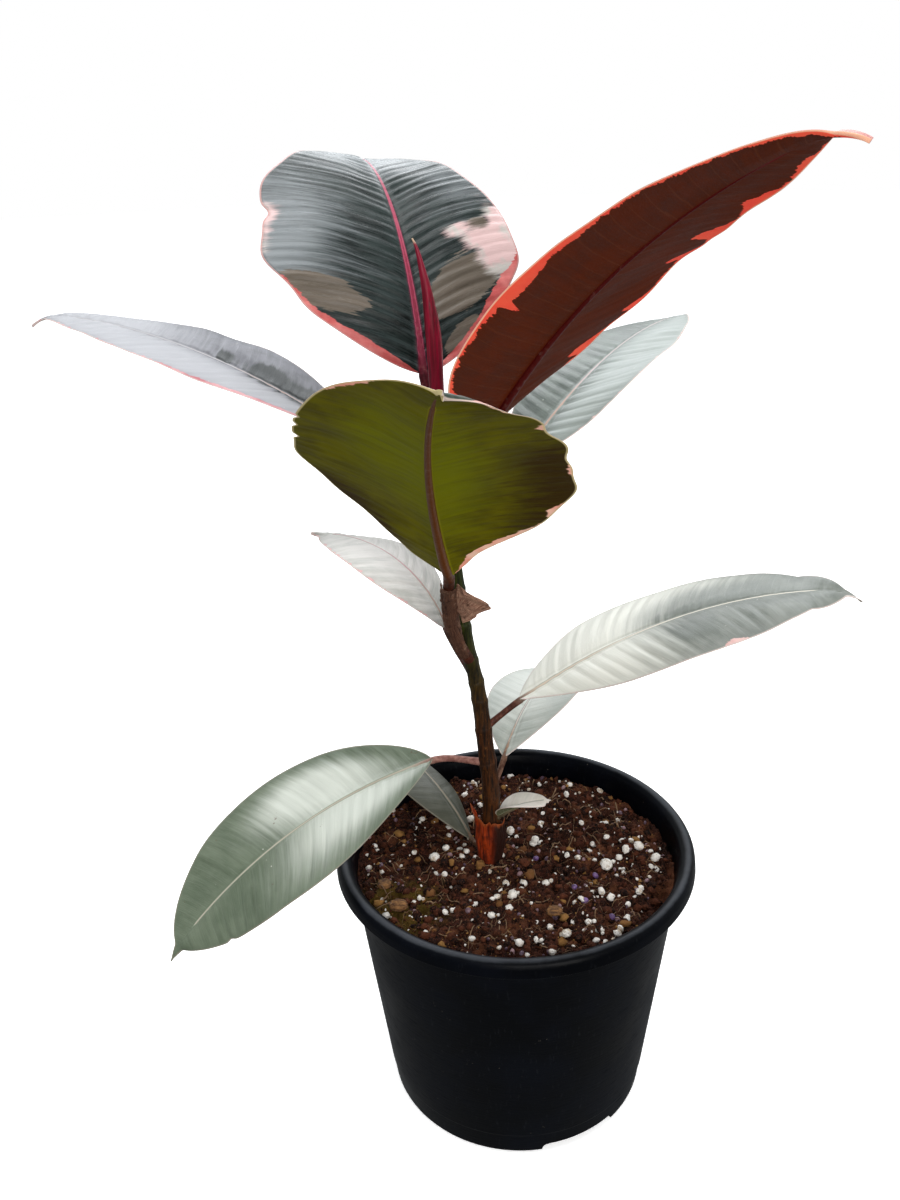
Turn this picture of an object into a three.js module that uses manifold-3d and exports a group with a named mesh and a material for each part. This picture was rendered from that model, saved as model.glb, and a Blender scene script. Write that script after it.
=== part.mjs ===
// A young variegated rubber plant standing in a black nursery pot.
//
// Millimetres, +Z up. The origin is the centre of the pot's underside, which stands on z = 0. An azimuth is
// measured from +X towards +Y, and a rise from the horizontal, both in degrees.

import * as THREE from 'three';
import { mergeVertices } from 'three/addons/utils/BufferGeometryUtils.js';
import Module from 'manifold-3d';

const wasm = await Module();
wasm.setup();

const DEGREE = Math.PI / 180;
const GAP = 0.3;             // left between neighbouring pieces

// ---------------------------------------------------------------- driving dimensions

// The moulded pot. The lip is a rolled skirt that hangs clear of the wall, and a fine ridge runs
// round below it.
const POT = {
  height: 130,
  footRadius: 61,            // outside, where the wall meets the floor
  lipRadius: 82.5,           // outside of the lip's skirt, its widest line
  crownRadius: 79.4,         // top line of the lip
  wallTop: 75.7,             // outside of the wall, under the lip
  wall: 1.3,
  floor: 2,
  skirt: 7,                  // height of the lip's skirt
  ridgeDrop: 6,              // ridge below the skirt's lower edge
  ridge: 0.7,                // how far the ridge stands out, and half its height
  notches: [-61, 59, 179],   // azimuths of the drain notches in the foot
  notchWidth: 38,
  notchHeight: 5,
  notchDepth: 9,             // how far a notch reaches in under the floor
  sides: 54,
};

// The soil fills the pot to 10 mm below the crown, with low humps.
const SOIL = { level: 120, hump: 1.1, rings: 11, sides: 40 };

// The stem's centre line from its buried end to its top: x, z and radius. It stays in the plane y = 0.
const STEM = [
  [-11.6, 84, 3.2],
  [-11.6, 114, 4.3],
  [-11.0, 128, 4.1],
  [-10.5, 158, 3.9],
  [-12.3, 179, 3.7],
  [-15.3, 209, 3.3],
  [-19.5, 232, 3.0],
  [-23.3, 265, 2.8],
  [-25.8, 304, 2.6],
  [-28.4, 340, 2.6],
];

// The closed sheath round the growing tip, as x, z and radius, from the stem's top to the hooked point.
const BUD = [
  [-28.5, 341, 2.7],
  [-29.0, 361, 3.1],
  [-30.6, 376, 2.1],
  [-32.4, 386, 1.3],
  [-35.4, 397, 0.4],
];

// Leaves, from the top down. node is the height on the stem where the stalk leaves it. The blade starts
// along azimuth and rise, and turns to azimuth + sweep and to endRise at its tip. bend above 1 holds the
// turn back towards the tip, and tipDrop lowers the last eighth. roll and twist lean it about its midrib.
// foldLeft and foldRight lift each half, as a pair for base and tip, and cup bends the halves on across
// their width (down when negative). shoulder, as a pair for left and right, puts the widest place nearer
// the base when it is below 1. fullness, as a pair for base and tip, squares the outline up when it is
// below 1. neck draws the base in, and skew makes the left half wider than the right. stalkBow, as a pair
// for below and above, pulls the stalk towards -X.
const LEAVES = [
  {
    name: 'leaf_top_back', pale: false,
    node: 322, stalk: 26, stalkAzimuth: 123, stalkRise: 60, stalkRadius: 1.9,
    length: 140, width: 101, azimuth: 109, sweep: 2, rise: 72, endRise: -10, bend: 1.27,
    roll: 1, twist: -4, foldLeft: [7, 9], foldRight: [4, 5], cup: -8,
    shoulder: [0.86, 0.78], fullness: [0.81, 0.68], neck: 0.13, tipDrop: 14, skew: 0.07,
  },
  {
    name: 'leaf_upper_right', pale: false,
    node: 309, stalk: 26, stalkAzimuth: -44, stalkRise: 37, stalkRadius: 1.9,
    length: 183, width: 77, azimuth: -52, sweep: 14, rise: 50, endRise: 19, bend: 1.5,
    roll: -15, twist: 17, foldLeft: [2, -14], foldRight: [13, 15], cup: -2,
    shoulder: [0.85, 0.83], fullness: [0.72, 0.64], neck: 0.01, tipDrop: 45, skew: -0.01,
  },
  {
    name: 'leaf_front', pale: false,
    node: 223, stalk: 57, stalkAzimuth: -104, stalkRise: 61, stalkRadius: 2.2, stalkBow: [7, 3],
    length: 163, width: 95, azimuth: -97, sweep: 20, rise: 49, endRise: 28, bend: 1.4,
    roll: 5, twist: 8, foldLeft: [22, 14], foldRight: [22, 19], cup: -14,
    shoulder: [0.96, 0.93], fullness: [0.78, 0.59], neck: 0.35, tipDrop: 23, skew: -0.01,
  },
  {
    name: 'leaf_left', pale: true,
    node: 289, stalk: 39, stalkAzimuth: 158, stalkRise: 36, stalkRadius: 1.7,
    length: 177, width: 64, azimuth: 161, sweep: 1, rise: 31, endRise: 0, bend: 1.21,
    roll: -5, twist: 10, foldLeft: [14, 4], foldRight: [9, -2], cup: -9,
    shoulder: [0.96, 0.95], fullness: [0.7, 0.74], neck: 0.08, tipDrop: 37, skew: -0.01,
  },
  {
    name: 'leaf_back_right', pale: true,
    node: 275, stalk: 45, stalkAzimuth: 46, stalkRise: 35, stalkRadius: 1.7,
    length: 149, width: 60, azimuth: 49, sweep: 5, rise: 36, endRise: -7, bend: 1.29,
    roll: 4, twist: 6, foldLeft: [9, 0], foldRight: [9, 2], cup: -8,
    shoulder: [0.95, 0.92], fullness: [0.74, 0.74], neck: 0.03, tipDrop: 7, skew: 0.02,
  },
  {
    name: 'leaf_back_left', pale: true,
    node: 213, stalk: 27, stalkAzimuth: 155, stalkRise: 59, stalkRadius: 1.5,
    length: 79, width: 62, azimuth: 156, sweep: 6, rise: 69, endRise: -15, bend: 1.07,
    roll: -12, twist: 5, foldLeft: [7, -1], foldRight: [3, -10], cup: -9,
    shoulder: [0.94, 0.93], fullness: [0.78, 0.76], neck: 0.19, tipDrop: -20, skew: -0.01,
  },
  {
    name: 'leaf_lower_right', pale: true,
    node: 189, stalk: 21, stalkAzimuth: 16, stalkRise: 35, stalkRadius: 1.4,
    length: 157, width: 66, azimuth: 14, sweep: -20, rise: 32, endRise: -1, bend: 1.29,
    roll: -6, twist: 1, foldLeft: [10, 5], foldRight: [5, 17], cup: -24,
    shoulder: [0.92, 1.09], fullness: [0.73, 0.69], neck: 0.17, tipDrop: 40, skew: 0.02,
  },
  {
    name: 'leaf_lower_back', pale: true,
    node: 155, stalk: 18, stalkAzimuth: 62, stalkRise: 42, stalkRadius: 1.3,
    length: 96, width: 46, azimuth: 71, sweep: -11, rise: 34, endRise: -31, bend: 0.94,
    roll: 8, twist: -4, foldLeft: [7, 3], foldRight: [12, 9], cup: -7,
    shoulder: [1.01, 0.99], fullness: [0.76, 0.7], neck: 0.15, tipDrop: 4, skew: -0.01,
  },
  {
    name: 'leaf_lower_left', pale: true,
    node: 172, stalk: 25, stalkAzimuth: 177, stalkRise: 0, stalkRadius: 1.5,
    length: 150, width: 65, azimuth: 195, sweep: 14, rise: -11, endRise: -49, bend: 0.94,
    roll: 7, twist: 11, foldLeft: [6, -7], foldRight: [10, 11], cup: -1,
    shoulder: [0.92, 0.91], fullness: [0.65, 0.61], neck: 0.16, tipDrop: 11, skew: 0.02,
  },
  {
    name: 'leaf_small_low', pale: true,
    node: 125, stalk: 12.3, stalkAzimuth: 138, stalkRise: -3.6, stalkRadius: 1.2,
    length: 84, width: 36, azimuth: 132, sweep: -6, rise: 44, endRise: -28, bend: 1.12,
    roll: -23, twist: 13, foldLeft: [6, -4], foldRight: [-7, -11], cup: -25,
    shoulder: [0.99, 0.98], fullness: [0.73, 0.75], neck: 0.1, tipDrop: 6, skew: 0.02,
  },
  {
    name: 'leaf_torn', pale: true,
    node: 140, stalk: 6, stalkAzimuth: -25, stalkRise: 45, stalkRadius: 1.2,
    length: 26, width: 18, azimuth: -8, sweep: 20, rise: 48, endRise: -5, bend: 0.8,
    roll: 0, twist: 10, foldLeft: [25, 5], foldRight: [60, -5], cup: -10,
    shoulder: [0.85, 0.85], fullness: [0.6, 0.35], neck: 0, tipDrop: 0, skew: 0.0,
  },
];

const BLADE = { thickness: 0.9, stations: 14, across: 6, leastHalfWidth: 0.9, pointLength: 0.05 };
const RIB = { sides: 6, steps: 15, taper: 0.62, tipRadius: 0.45, end: 0.9, drop: 0.45 };

// The orange papery sheath that stands open round the front of the stem's foot, as height and radius.
const FOOT_SHEATH = {
  profile: [[123.5, 5.5], [128, 6.0], [133, 6.4], [138, 6.1], [143.5, 6.7]],
  from: 164,
  to: 352,
  thickness: 0.8,
};

// The dried brown sheath that clings to the front leaf's stalk and flares out to one side.
const DRIED_SHEATH = {
  leaf: 'leaf_front',
  from: 0.22,                // where it starts and ends along the stalk, and where the lobe starts
  to: 0.88,
  lobeFrom: 0.58,
  clear: 1.1,
  lobe: 13,
  drop: 5,
  thickness: 0.8,
};

// Loose grains on the soil, as x, y and size.
const PERLITE = [
  [-37.3, -3.9, 5.4], [-32.4, 4, 4.4], [-45.1, 27.5, 3.2], [-47.1, 2, 3.6], [-2, 18.7, 4.6],
  [9.8, 10.9, 4.2], [42.2, -6.8, 5.0], [52, 4, 4.4], [57.9, 6, 4.8], [64.8, -2.9, 5.2],
  [26.5, 49.1, 3.4], [-1, -29.4, 4.2], [38.3, -26.4, 4.6], [21.6, -52.9, 4.0], [2, -59.8, 3.2],
  [8.8, -56.9, 3.0], [44.2, -51, 3.4], [-21.6, 28.5, 4.0], [-3.9, -19.6, 3.6], [32.4, 24.6, 3.4],
  [-30.4, -40.2, 3.2], [55, -25.5, 3.4],
];
const PRILLS = [
  [9.8, -2.9, 3.2], [36.3, -14.7, 3.2], [26.5, -24.5, 3.0], [30.4, -33.3, 3.2], [41.2, -43.1, 3.0],
];
const BARK = [
  [-58.9, -22.5, 9], [16.7, -38.2, 8], [-51, -37.2, 10],
];

// ---------------------------------------------------------------- solids

// A closed three.js geometry as a manifold solid.
function solidOf(geometry) {
  const bare = geometry.clone();
  bare.deleteAttribute('normal');
  bare.deleteAttribute('uv');
  const merged = mergeVertices(bare, 1e-4);
  const vertProperties = new Float32Array(merged.attributes.position.array);
  const triVerts = new Uint32Array(merged.index.array);
  return new wasm.Manifold(new wasm.Mesh({ numProp: 3, vertProperties, triVerts }));
}

// The largest separate body of a manifold solid, as a three.js geometry.
function geometryOf(solid) {
  const bodies = solid.decompose().sort((a, b) => b.volume() - a.volume());
  const mesh = bodies[0].getMesh();
  const geometry = new THREE.BufferGeometry();
  geometry.setAttribute('position', new THREE.BufferAttribute(new Float32Array(mesh.vertProperties), 3));
  geometry.setIndex(new THREE.BufferAttribute(new Uint32Array(mesh.triVerts), 1));
  return geometry;
}

// A closed skin over rings of points: each ring joins the next. The two ends close on their centres, or,
// where a ring runs out and back along a band, straight across the band.
function skin(rings, banded = false) {
  const sides = rings[0].length;
  const points = rings.flat();
  const faces = [];
  for (let i = 0; i + 1 < rings.length; i++) {
    for (let j = 0; j < sides; j++) {
      const a = i * sides + j;
      const b = i * sides + ((j + 1) % sides);
      faces.push(a, b, b + sides, a, b + sides, a + sides);
    }
  }
  for (const ring of [0, rings.length - 1]) {
    const first = ring * sides;
    const close = (a, b, c) => faces.push(first + a, first + (ring ? c : b), first + (ring ? b : c));
    if (banded) {
      for (let j = 0; j + 1 < sides / 2; j++) {
        close(j + 1, j, sides - 1 - j);
        close(j + 1, sides - 1 - j, sides - 2 - j);
      }
    } else {
      const centre = new THREE.Vector3();
      rings[ring].forEach((p) => centre.add(p));
      const hub = points.push(centre.divideScalar(sides)) - 1;
      for (let j = 0; j < sides; j++) {
        close(hub - first, (j + 1) % sides, j);
      }
    }
  }
  const geometry = new THREE.BufferGeometry().setFromPoints(points);
  geometry.setIndex(faces);
  return geometry;
}

// A round rod through points, with a radius at each, as a closed geometry.
function rod(points, radii, sides, steps) {
  const curve = new THREE.CatmullRomCurve3(points, false, 'centripetal');
  const frames = curve.computeFrenetFrames(steps, false);
  const lengths = points.map((p, i) => (i ? p.distanceTo(points[i - 1]) : 0));
  const along = [];
  lengths.reduce((sum, d) => along[along.push(sum + d) - 1], 0);
  const total = along[along.length - 1];
  const rings = [];
  for (let i = 0; i <= steps; i++) {
    const t = i / steps;
    const k = Math.min(along.findIndex((d) => d >= t * total - 1e-6), points.length - 1);
    const before = Math.max(k - 1, 0);
    const part = k ? (t * total - along[before]) / (along[k] - along[before]) : 0;
    const radius = THREE.MathUtils.lerp(radii[before], radii[k], part);
    const centre = curve.getPointAt(t);
    const ring = [];
    for (let j = 0; j < sides; j++) {
      const angle = (2 * Math.PI * j) / sides;
      const across = frames.normals[i].clone().multiplyScalar(radius * Math.cos(angle));
      ring.push(centre.clone().add(across).addScaledVector(frames.binormals[i], radius * Math.sin(angle)));
    }
    rings.push(ring);
  }
  return skin(rings);
}

// A sheet of even thickness about a grid of points, rows[along][across], as a closed geometry.
function sheet(rows, thickness) {
  const last = rows.length - 1;
  const edge = rows[0].length - 1;
  const upper = [];
  const lower = [];
  for (let i = 0; i <= last; i++) {
    upper.push([]);
    lower.push([]);
    for (let j = 0; j <= edge; j++) {
      const ahead = rows[Math.min(i + 1, last)][j].clone().sub(rows[Math.max(i - 1, 0)][j]);
      const right = rows[i][Math.min(j + 1, edge)].clone().sub(rows[i][Math.max(j - 1, 0)]);
      const normal = right.cross(ahead).normalize().multiplyScalar(thickness / 2);
      upper[i].push(rows[i][j].clone().add(normal));
      lower[i].push(rows[i][j].clone().sub(normal));
    }
  }
  // Each row is one ring: over the upper side, and back under the lower side.
  return skin(upper.map((row, i) => [...row, ...lower[i].reverse()]), true);
}

// ---------------------------------------------------------------- pot and soil

function potSolid() {
  const { height: top, footRadius, wallTop, wall, floor, skirt, ridge, crownRadius, lipRadius } = POT;
  const lipFoot = top - skirt;
  const slope = (wallTop - footRadius) / lipFoot;
  const wallRadius = (z) => footRadius + slope * z;
  const ridgeZ = lipFoot - POT.ridgeDrop;
  const corner = 1.6;
  const outline = [
    [0, 0],
    [footRadius - corner, 0],
    [wallRadius(corner), corner],
    [wallRadius(ridgeZ - ridge), ridgeZ - ridge],
    [wallRadius(ridgeZ) + ridge, ridgeZ],
    [wallRadius(ridgeZ + ridge), ridgeZ + ridge],
    [wallRadius(top - 4), top - 4],
    [wallTop + 2, top - 2],
    [lipRadius - 2.4, top - 2.6],
    [lipRadius - wall, lipFoot],
    [lipRadius, lipFoot],
    [lipRadius - 0.4, top - 2.6],
    [lipRadius - 1.4, top - 0.8],
    [crownRadius, top],
    [crownRadius - 1.8, top - 0.4],
    [wallTop - wall + 1.2, top - 1.8],
    [wallTop - wall, top - 5],
    [wallRadius(floor) - wall, floor],
    [0, floor],
  ];
  const lathe = new THREE.LatheGeometry(outline.map(([r, z]) => new THREE.Vector2(r, z)), POT.sides);
  lathe.rotateX(Math.PI / 2);
  let solid = solidOf(lathe);
  for (const azimuth of POT.notches) {
    solid = solid.subtract(notchCutter(azimuth));
  }
  return solid;
}

// The arched tool that opens one drain notch through the foot of the wall and the edge of the floor.
function notchCutter(azimuth) {
  const half = POT.notchWidth / 2;
  const round = 3.5;
  const arch = new THREE.Shape();
  arch.moveTo(-half, -2);
  arch.lineTo(half, -2);
  arch.lineTo(half, POT.notchHeight - round);
  arch.quadraticCurveTo(half, POT.notchHeight, half - round, POT.notchHeight);
  arch.lineTo(-half + round, POT.notchHeight);
  arch.quadraticCurveTo(-half, POT.notchHeight, -half, POT.notchHeight - round);
  const reach = POT.footRadius + 6 - (POT.footRadius - POT.notchDepth);
  const tool = new THREE.ExtrudeGeometry(arch, { depth: reach, bevelEnabled: false, curveSegments: 3 });
  tool.translate(0, 0, POT.footRadius - POT.notchDepth);
  tool.rotateX(Math.PI / 2);                       // the arch stands up, and the tool runs towards -Y
  tool.rotateZ((azimuth + 90) * DEGREE);
  return solidOf(tool);
}

// The soil's surface: its level and three crossing waves.
function soilHeight(x, y) {
  const long = Math.sin(x / 7.3 + y / 11.9);
  const cross = Math.sin(y / 6.1 - x / 15.7 + 1);
  const short = Math.sin((x + y) / 4.9 + 2);
  return SOIL.level + (SOIL.hump / 2) * (long + cross + short);
}

function soilSolid(stemRoom) {
  const { footRadius, wallTop, wall, floor, height, skirt } = POT;
  const inside = (z) => footRadius + ((wallTop - footRadius) * z) / (height - skirt) - wall - 2 * GAP;
  const bottom = floor + GAP;
  const rings = [];
  const ring = (radius, heightAt) => {
    const points = [];
    for (let j = 0; j < SOIL.sides; j++) {
      const angle = (2 * Math.PI * j) / SOIL.sides;
      const x = radius * Math.cos(angle);
      const y = radius * Math.sin(angle);
      points.push(new THREE.Vector3(x, y, heightAt(x, y)));
    }
    return points;
  };
  rings.push(ring(inside(bottom), () => bottom));
  for (let i = SOIL.rings; i >= 1; i--) {
    rings.push(ring((inside(SOIL.level) * i) / SOIL.rings, soilHeight));
  }
  return solidOf(skin(rings)).subtract(stemRoom);
}

// ---------------------------------------------------------------- stem and bud

// A rod along a list of x, z and radius in the plane y = 0, grown all round by extra.
function uprightRod(list, extra, sides, steps) {
  const points = list.map(([x, z]) => new THREE.Vector3(x, 0, z));
  return solidOf(rod(points, list.map((row) => row[2] + extra), sides, steps));
}

// The stem's centre at a height.
function stemAt(z) {
  const k = Math.max(1, STEM.findIndex((row) => row[1] >= z));
  const [x0, z0] = STEM[k - 1];
  const [x1, z1] = STEM[k];
  return new THREE.Vector3(THREE.MathUtils.lerp(x0, x1, (z - z0) / (z1 - z0)), 0, z);
}

// ---------------------------------------------------------------- leaves

function direction(azimuth, rise) {
  const flat = Math.cos(rise * DEGREE);
  const around = azimuth * DEGREE;
  return new THREE.Vector3(flat * Math.cos(around), flat * Math.sin(around), Math.sin(rise * DEGREE));
}

// The blade's direction at s, from 0 at its base to 1 at its tip.
function heading(leaf, s) {
  const drop = leaf.tipDrop * Math.max(0, (s - 0.88) / 0.12) ** 1.5;
  const rise = leaf.rise + (leaf.endRise - leaf.rise) * s ** leaf.bend - drop;
  return direction(leaf.azimuth + leaf.sweep * s, rise);
}

// The width of one half of the blade at s: a rounded lens, drawn in at the neck, that ends in a narrow
// drip tip.
function halfWidth(leaf, s, half) {
  const x = Math.min(1, s / (1 - BLADE.pointLength));
  const fullness = THREE.MathUtils.lerp(...leaf.fullness, s);
  const lens = Math.sin(Math.PI * x ** leaf.shoulder[half]) ** fullness;
  const neck = 1 - leaf.neck * (1 - s) ** 6;
  const tip = s > 0.6 ? 0.09 * Math.min(1, (1 - s) / 0.2) ** 0.9 : 0;
  return Math.max((leaf.width / 2) * Math.max(lens * neck || 0, tip), BLADE.leastHalfWidth);
}

// The blade's midrib: points with the right-hand and upward directions at each station.
function midrib(leaf, stations) {
  const fine = 8;
  const base = stalkEnd(leaf);
  const frames = [];
  const here = base.clone();
  for (let i = 0; i <= stations; i++) {
    const s = i / stations;
    const around = (leaf.azimuth + leaf.sweep * s) * DEGREE;
    const level = new THREE.Vector3(Math.sin(around), -Math.cos(around), 0);
    const ahead = heading(leaf, s);
    const lean = (leaf.roll + leaf.twist * s) * DEGREE;
    const right = level.clone().applyAxisAngle(ahead, -lean);
    frames.push({ s, point: here.clone(), right, up: right.clone().cross(ahead) });
    for (let k = 0; k < fine && i < stations; k++) {
      const part = (k + 0.5) / (fine * stations);
      here.addScaledVector(heading(leaf, s + part), leaf.length / (fine * stations));
    }
  }
  return frames;
}

function stalkEnd(leaf) {
  return stemAt(leaf.node).addScaledVector(direction(leaf.stalkAzimuth, leaf.stalkRise), leaf.stalk);
}

// The blade's middle surface as rows of points across it.
function bladeRows(leaf) {
  const bend = (Math.abs(leaf.cup) > 0.01 ? leaf.cup : 0.01) * DEGREE;
  return midrib(leaf, BLADE.stations).map(({ s, point, right, up }) => {
    const row = [];
    for (let j = 0; j <= BLADE.across; j++) {
      const v = (2 * j) / BLADE.across - 1;
      const half = v < 0 ? 0 : 1;
      const fold = THREE.MathUtils.lerp(...(half ? leaf.foldRight : leaf.foldLeft), s) * DEGREE;
      const reach = halfWidth(leaf, s, half) * (half ? 1 - leaf.skew : 1 + leaf.skew);
      const out = (Math.sin(fold + bend * Math.abs(v)) - Math.sin(fold)) / bend;
      const rise = (Math.cos(fold) - Math.cos(fold + bend * Math.abs(v))) / bend;
      const across = right.clone().multiplyScalar(Math.sign(v) * out * reach);
      row.push(point.clone().add(across).addScaledVector(up, rise * reach));
    }
    return row;
  });
}

// The stalk's centre line: it leaves the stem along its own direction and bends into the blade's. A bow
// pulls its lower and upper parts towards -X.
function stalkPoints(leaf, count) {
  const [lowerBow, upperBow] = leaf.stalkBow ?? [0, 0];
  const start = stemAt(leaf.node);
  const end = stalkEnd(leaf);
  const reach = leaf.stalk / 3;
  const leave = start.clone().addScaledVector(direction(leaf.stalkAzimuth, leaf.stalkRise), reach);
  const arrive = end.clone().addScaledVector(heading(leaf, 0), -reach);
  leave.x -= lowerBow;
  arrive.x -= upperBow;
  return new THREE.CubicBezierCurve3(start, leave, arrive, end).getPoints(count);
}

// Stalk and midrib as one tapering rod.
function ribSolid(leaf) {
  const stalk = stalkPoints(leaf, 4);
  const frames = midrib(leaf, BLADE.stations).filter(({ s }) => s > 0 && s < RIB.end);
  const points = [...stalk];
  const radii = stalk.map(() => leaf.stalkRadius);
  for (const { s, point, up } of frames) {
    const radius = THREE.MathUtils.lerp(leaf.stalkRadius * RIB.taper, RIB.tipRadius, s);
    radii.push(radius);
    points.push(point.clone().addScaledVector(up, -RIB.drop * radius));
  }
  return solidOf(rod(points, radii, RIB.sides, RIB.steps));
}

function leafSolid(leaf) {
  return solidOf(sheet(bladeRows(leaf), BLADE.thickness)).add(ribSolid(leaf));
}

// ---------------------------------------------------------------- papery sheaths

function footSheathSolid() {
  const { profile, from, to, thickness } = FOOT_SHEATH;
  const around = 24;
  const rows = profile.map(([z, radius]) => {
    const centre = stemAt(z);
    const row = [];
    for (let j = 0; j <= around; j++) {
      const angle = THREE.MathUtils.lerp(from, to, j / around) * DEGREE;
      const out = new THREE.Vector3(radius * Math.cos(angle), radius * Math.sin(angle), 0);
      row.push(centre.clone().add(out));
    }
    return row;
  });
  return solidOf(sheet(rows, thickness));
}

// A channel that clings to the side of the stalk, with a lobe that stands out from it and droops to a
// point.
function driedSheathSolid(leaf) {
  const { from, to, clear, lobe, drop, thickness } = DRIED_SHEATH;
  const line = new THREE.CatmullRomCurve3(stalkPoints(leaf, 12));
  const radius = leaf.stalkRadius + clear;
  const place = (t, angle, out) => {
    const centre = line.getPointAt(t);
    const ahead = line.getTangentAt(t);
    const side = new THREE.Vector3(1, 0, 0).addScaledVector(ahead, -ahead.x).normalize();
    const front = side.clone().cross(ahead).negate();
    const across = side.clone().multiplyScalar(radius * Math.cos(angle * DEGREE) + out);
    return centre.clone().add(across).addScaledVector(front, -radius * Math.sin(angle * DEGREE));
  };
  const channel = [];
  for (let i = 0; i <= 8; i++) {
    const t = THREE.MathUtils.lerp(from, to, i / 8);
    channel.push([200, 165, 130, 95, 60, 25, -10].map((angle) => place(t, angle, 0)));
  }
  const flare = [];
  for (let i = 0; i <= 8; i++) {
    const u = i / 8;
    const t = THREE.MathUtils.lerp(DRIED_SHEATH.lobeFrom, to, u);
    const reach = 2 + lobe * (1 - Math.abs(2 * u - 1.1) / 1.1);
    flare.push([0, 0.33, 0.67, 1].map((part) => {
      const point = place(t, -10, reach * part);
      point.z -= drop * part * part;
      return point;
    }));
  }
  return solidOf(sheet(channel, thickness)).add(solidOf(sheet(flare, thickness)));
}

// ---------------------------------------------------------------- loose grains

// The height at which something as wide as size clears the soil under it.
function restingHeight(soil, x, y, size) {
  const down = new THREE.Vector3(0, 0, -1);
  const heights = [];
  for (const reach of [0, size / 4, size / 2]) {
    for (let turn = 0; turn < 8; turn++) {
      const from = new THREE.Vector3(reach, 0, POT.height).applyAxisAngle(down, (turn * Math.PI) / 4);
      const hits = new THREE.Raycaster(from.add(new THREE.Vector3(x, y, 0)), down).intersectObject(soil);
      heights.push(hits[0].point.z);
    }
  }
  return Math.max(...heights) + GAP;
}

// A lumpy grain lying on the soil. Each number gives another shape.
function grain(soil, [x, y, size], number, squash) {
  const geometry = new THREE.IcosahedronGeometry(size / 2, 0);
  const stone = mergeVertices(stripped(geometry), 1e-3);
  const place = stone.attributes.position;
  for (let i = 0; i < place.count; i++) {
    const swell = 1 + 0.16 * Math.sin(7.1 * i + 3.7 * number);
    place.setXYZ(i, place.getX(i) * swell, place.getY(i) * swell * 0.9, place.getZ(i) * swell * squash);
  }
  stone.rotateZ(number);
  stone.computeBoundingBox();
  stone.translate(x, y, restingHeight(soil, x, y, size) - stone.boundingBox.min.z);
  return stone;
}

function stripped(geometry) {
  geometry.deleteAttribute('normal');
  geometry.deleteAttribute('uv');
  return geometry;
}

// ---------------------------------------------------------------- the plant

const material = {
  pot: new THREE.MeshStandardMaterial({ color: '#14161a', roughness: 0.38, metalness: 0 }),
  soil: new THREE.MeshStandardMaterial({ color: '#2c1712', roughness: 0.95, metalness: 0 }),
  stem: new THREE.MeshStandardMaterial({ color: '#3a2415', roughness: 0.6, metalness: 0 }),
  leafGrey: new THREE.MeshStandardMaterial({ color: '#93a39c', roughness: 0.42, metalness: 0 }),
  leafDark: new THREE.MeshStandardMaterial({ color: '#4b5753', roughness: 0.38, metalness: 0 }),
  bud: new THREE.MeshStandardMaterial({ color: '#8a0f2c', roughness: 0.35, metalness: 0 }),
  dried: new THREE.MeshStandardMaterial({ color: '#7a5546', roughness: 0.8, metalness: 0 }),
  orange: new THREE.MeshStandardMaterial({ color: '#a33a12', roughness: 0.6, metalness: 0 }),
  perlite: new THREE.MeshStandardMaterial({ color: '#e6dfdc', roughness: 0.9, metalness: 0 }),
  prill: new THREE.MeshStandardMaterial({ color: '#5d4070', roughness: 0.4, metalness: 0 }),
  bark: new THREE.MeshStandardMaterial({ color: '#8a5a2b', roughness: 0.9, metalness: 0 }),
};

const plant = new THREE.Group();

function addPiece(name, geometry, look) {
  const mesh = new THREE.Mesh(geometry, look);
  mesh.name = name;
  plant.add(mesh);
}

const STEM_SIDES = 12;
const STEM_STEPS = 26;
const stemRoom = uprightRod(STEM, GAP, STEM_SIDES, STEM_STEPS);

addPiece('nursery_pot', geometryOf(potSolid()), material.pot);
addPiece('potting_soil', geometryOf(soilSolid(stemRoom)), material.soil);
addPiece('main_stem', geometryOf(uprightRod(STEM, 0, STEM_SIDES, STEM_STEPS)), material.stem);
addPiece('bud_sheath', geometryOf(uprightRod(BUD, 0, 8, 14).subtract(stemRoom)), material.bud);

for (const leaf of LEAVES) {
  const solid = leafSolid(leaf).subtract(stemRoom);
  addPiece(leaf.name, geometryOf(solid), leaf.pale ? material.leafGrey : material.leafDark);
}

addPiece('foot_sheath', geometryOf(footSheathSolid()), material.orange);

const frontLeaf = LEAVES.find((leaf) => leaf.name === DRIED_SHEATH.leaf);
addPiece('dried_sheath', geometryOf(driedSheathSolid(frontLeaf)), material.dried);

const soil = plant.getObjectByName('potting_soil');
const looseGrains = [
  ['perlite', PERLITE, 0.85, material.perlite],
  ['prill', PRILLS, 1, material.prill],
  ['bark_chip', BARK, 0.35, material.bark],
];
for (const [name, list, squash, look] of looseGrains) {
  list.forEach((place, i) => {
    addPiece(`${name}_${String(i + 1).padStart(2, '0')}`, grain(soil, place, i + 1, squash), look);
  });
}

export default plant;
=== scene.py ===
import math

import bmesh
import bpy
import numpy as np
from mathutils import Matrix, Vector


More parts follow.
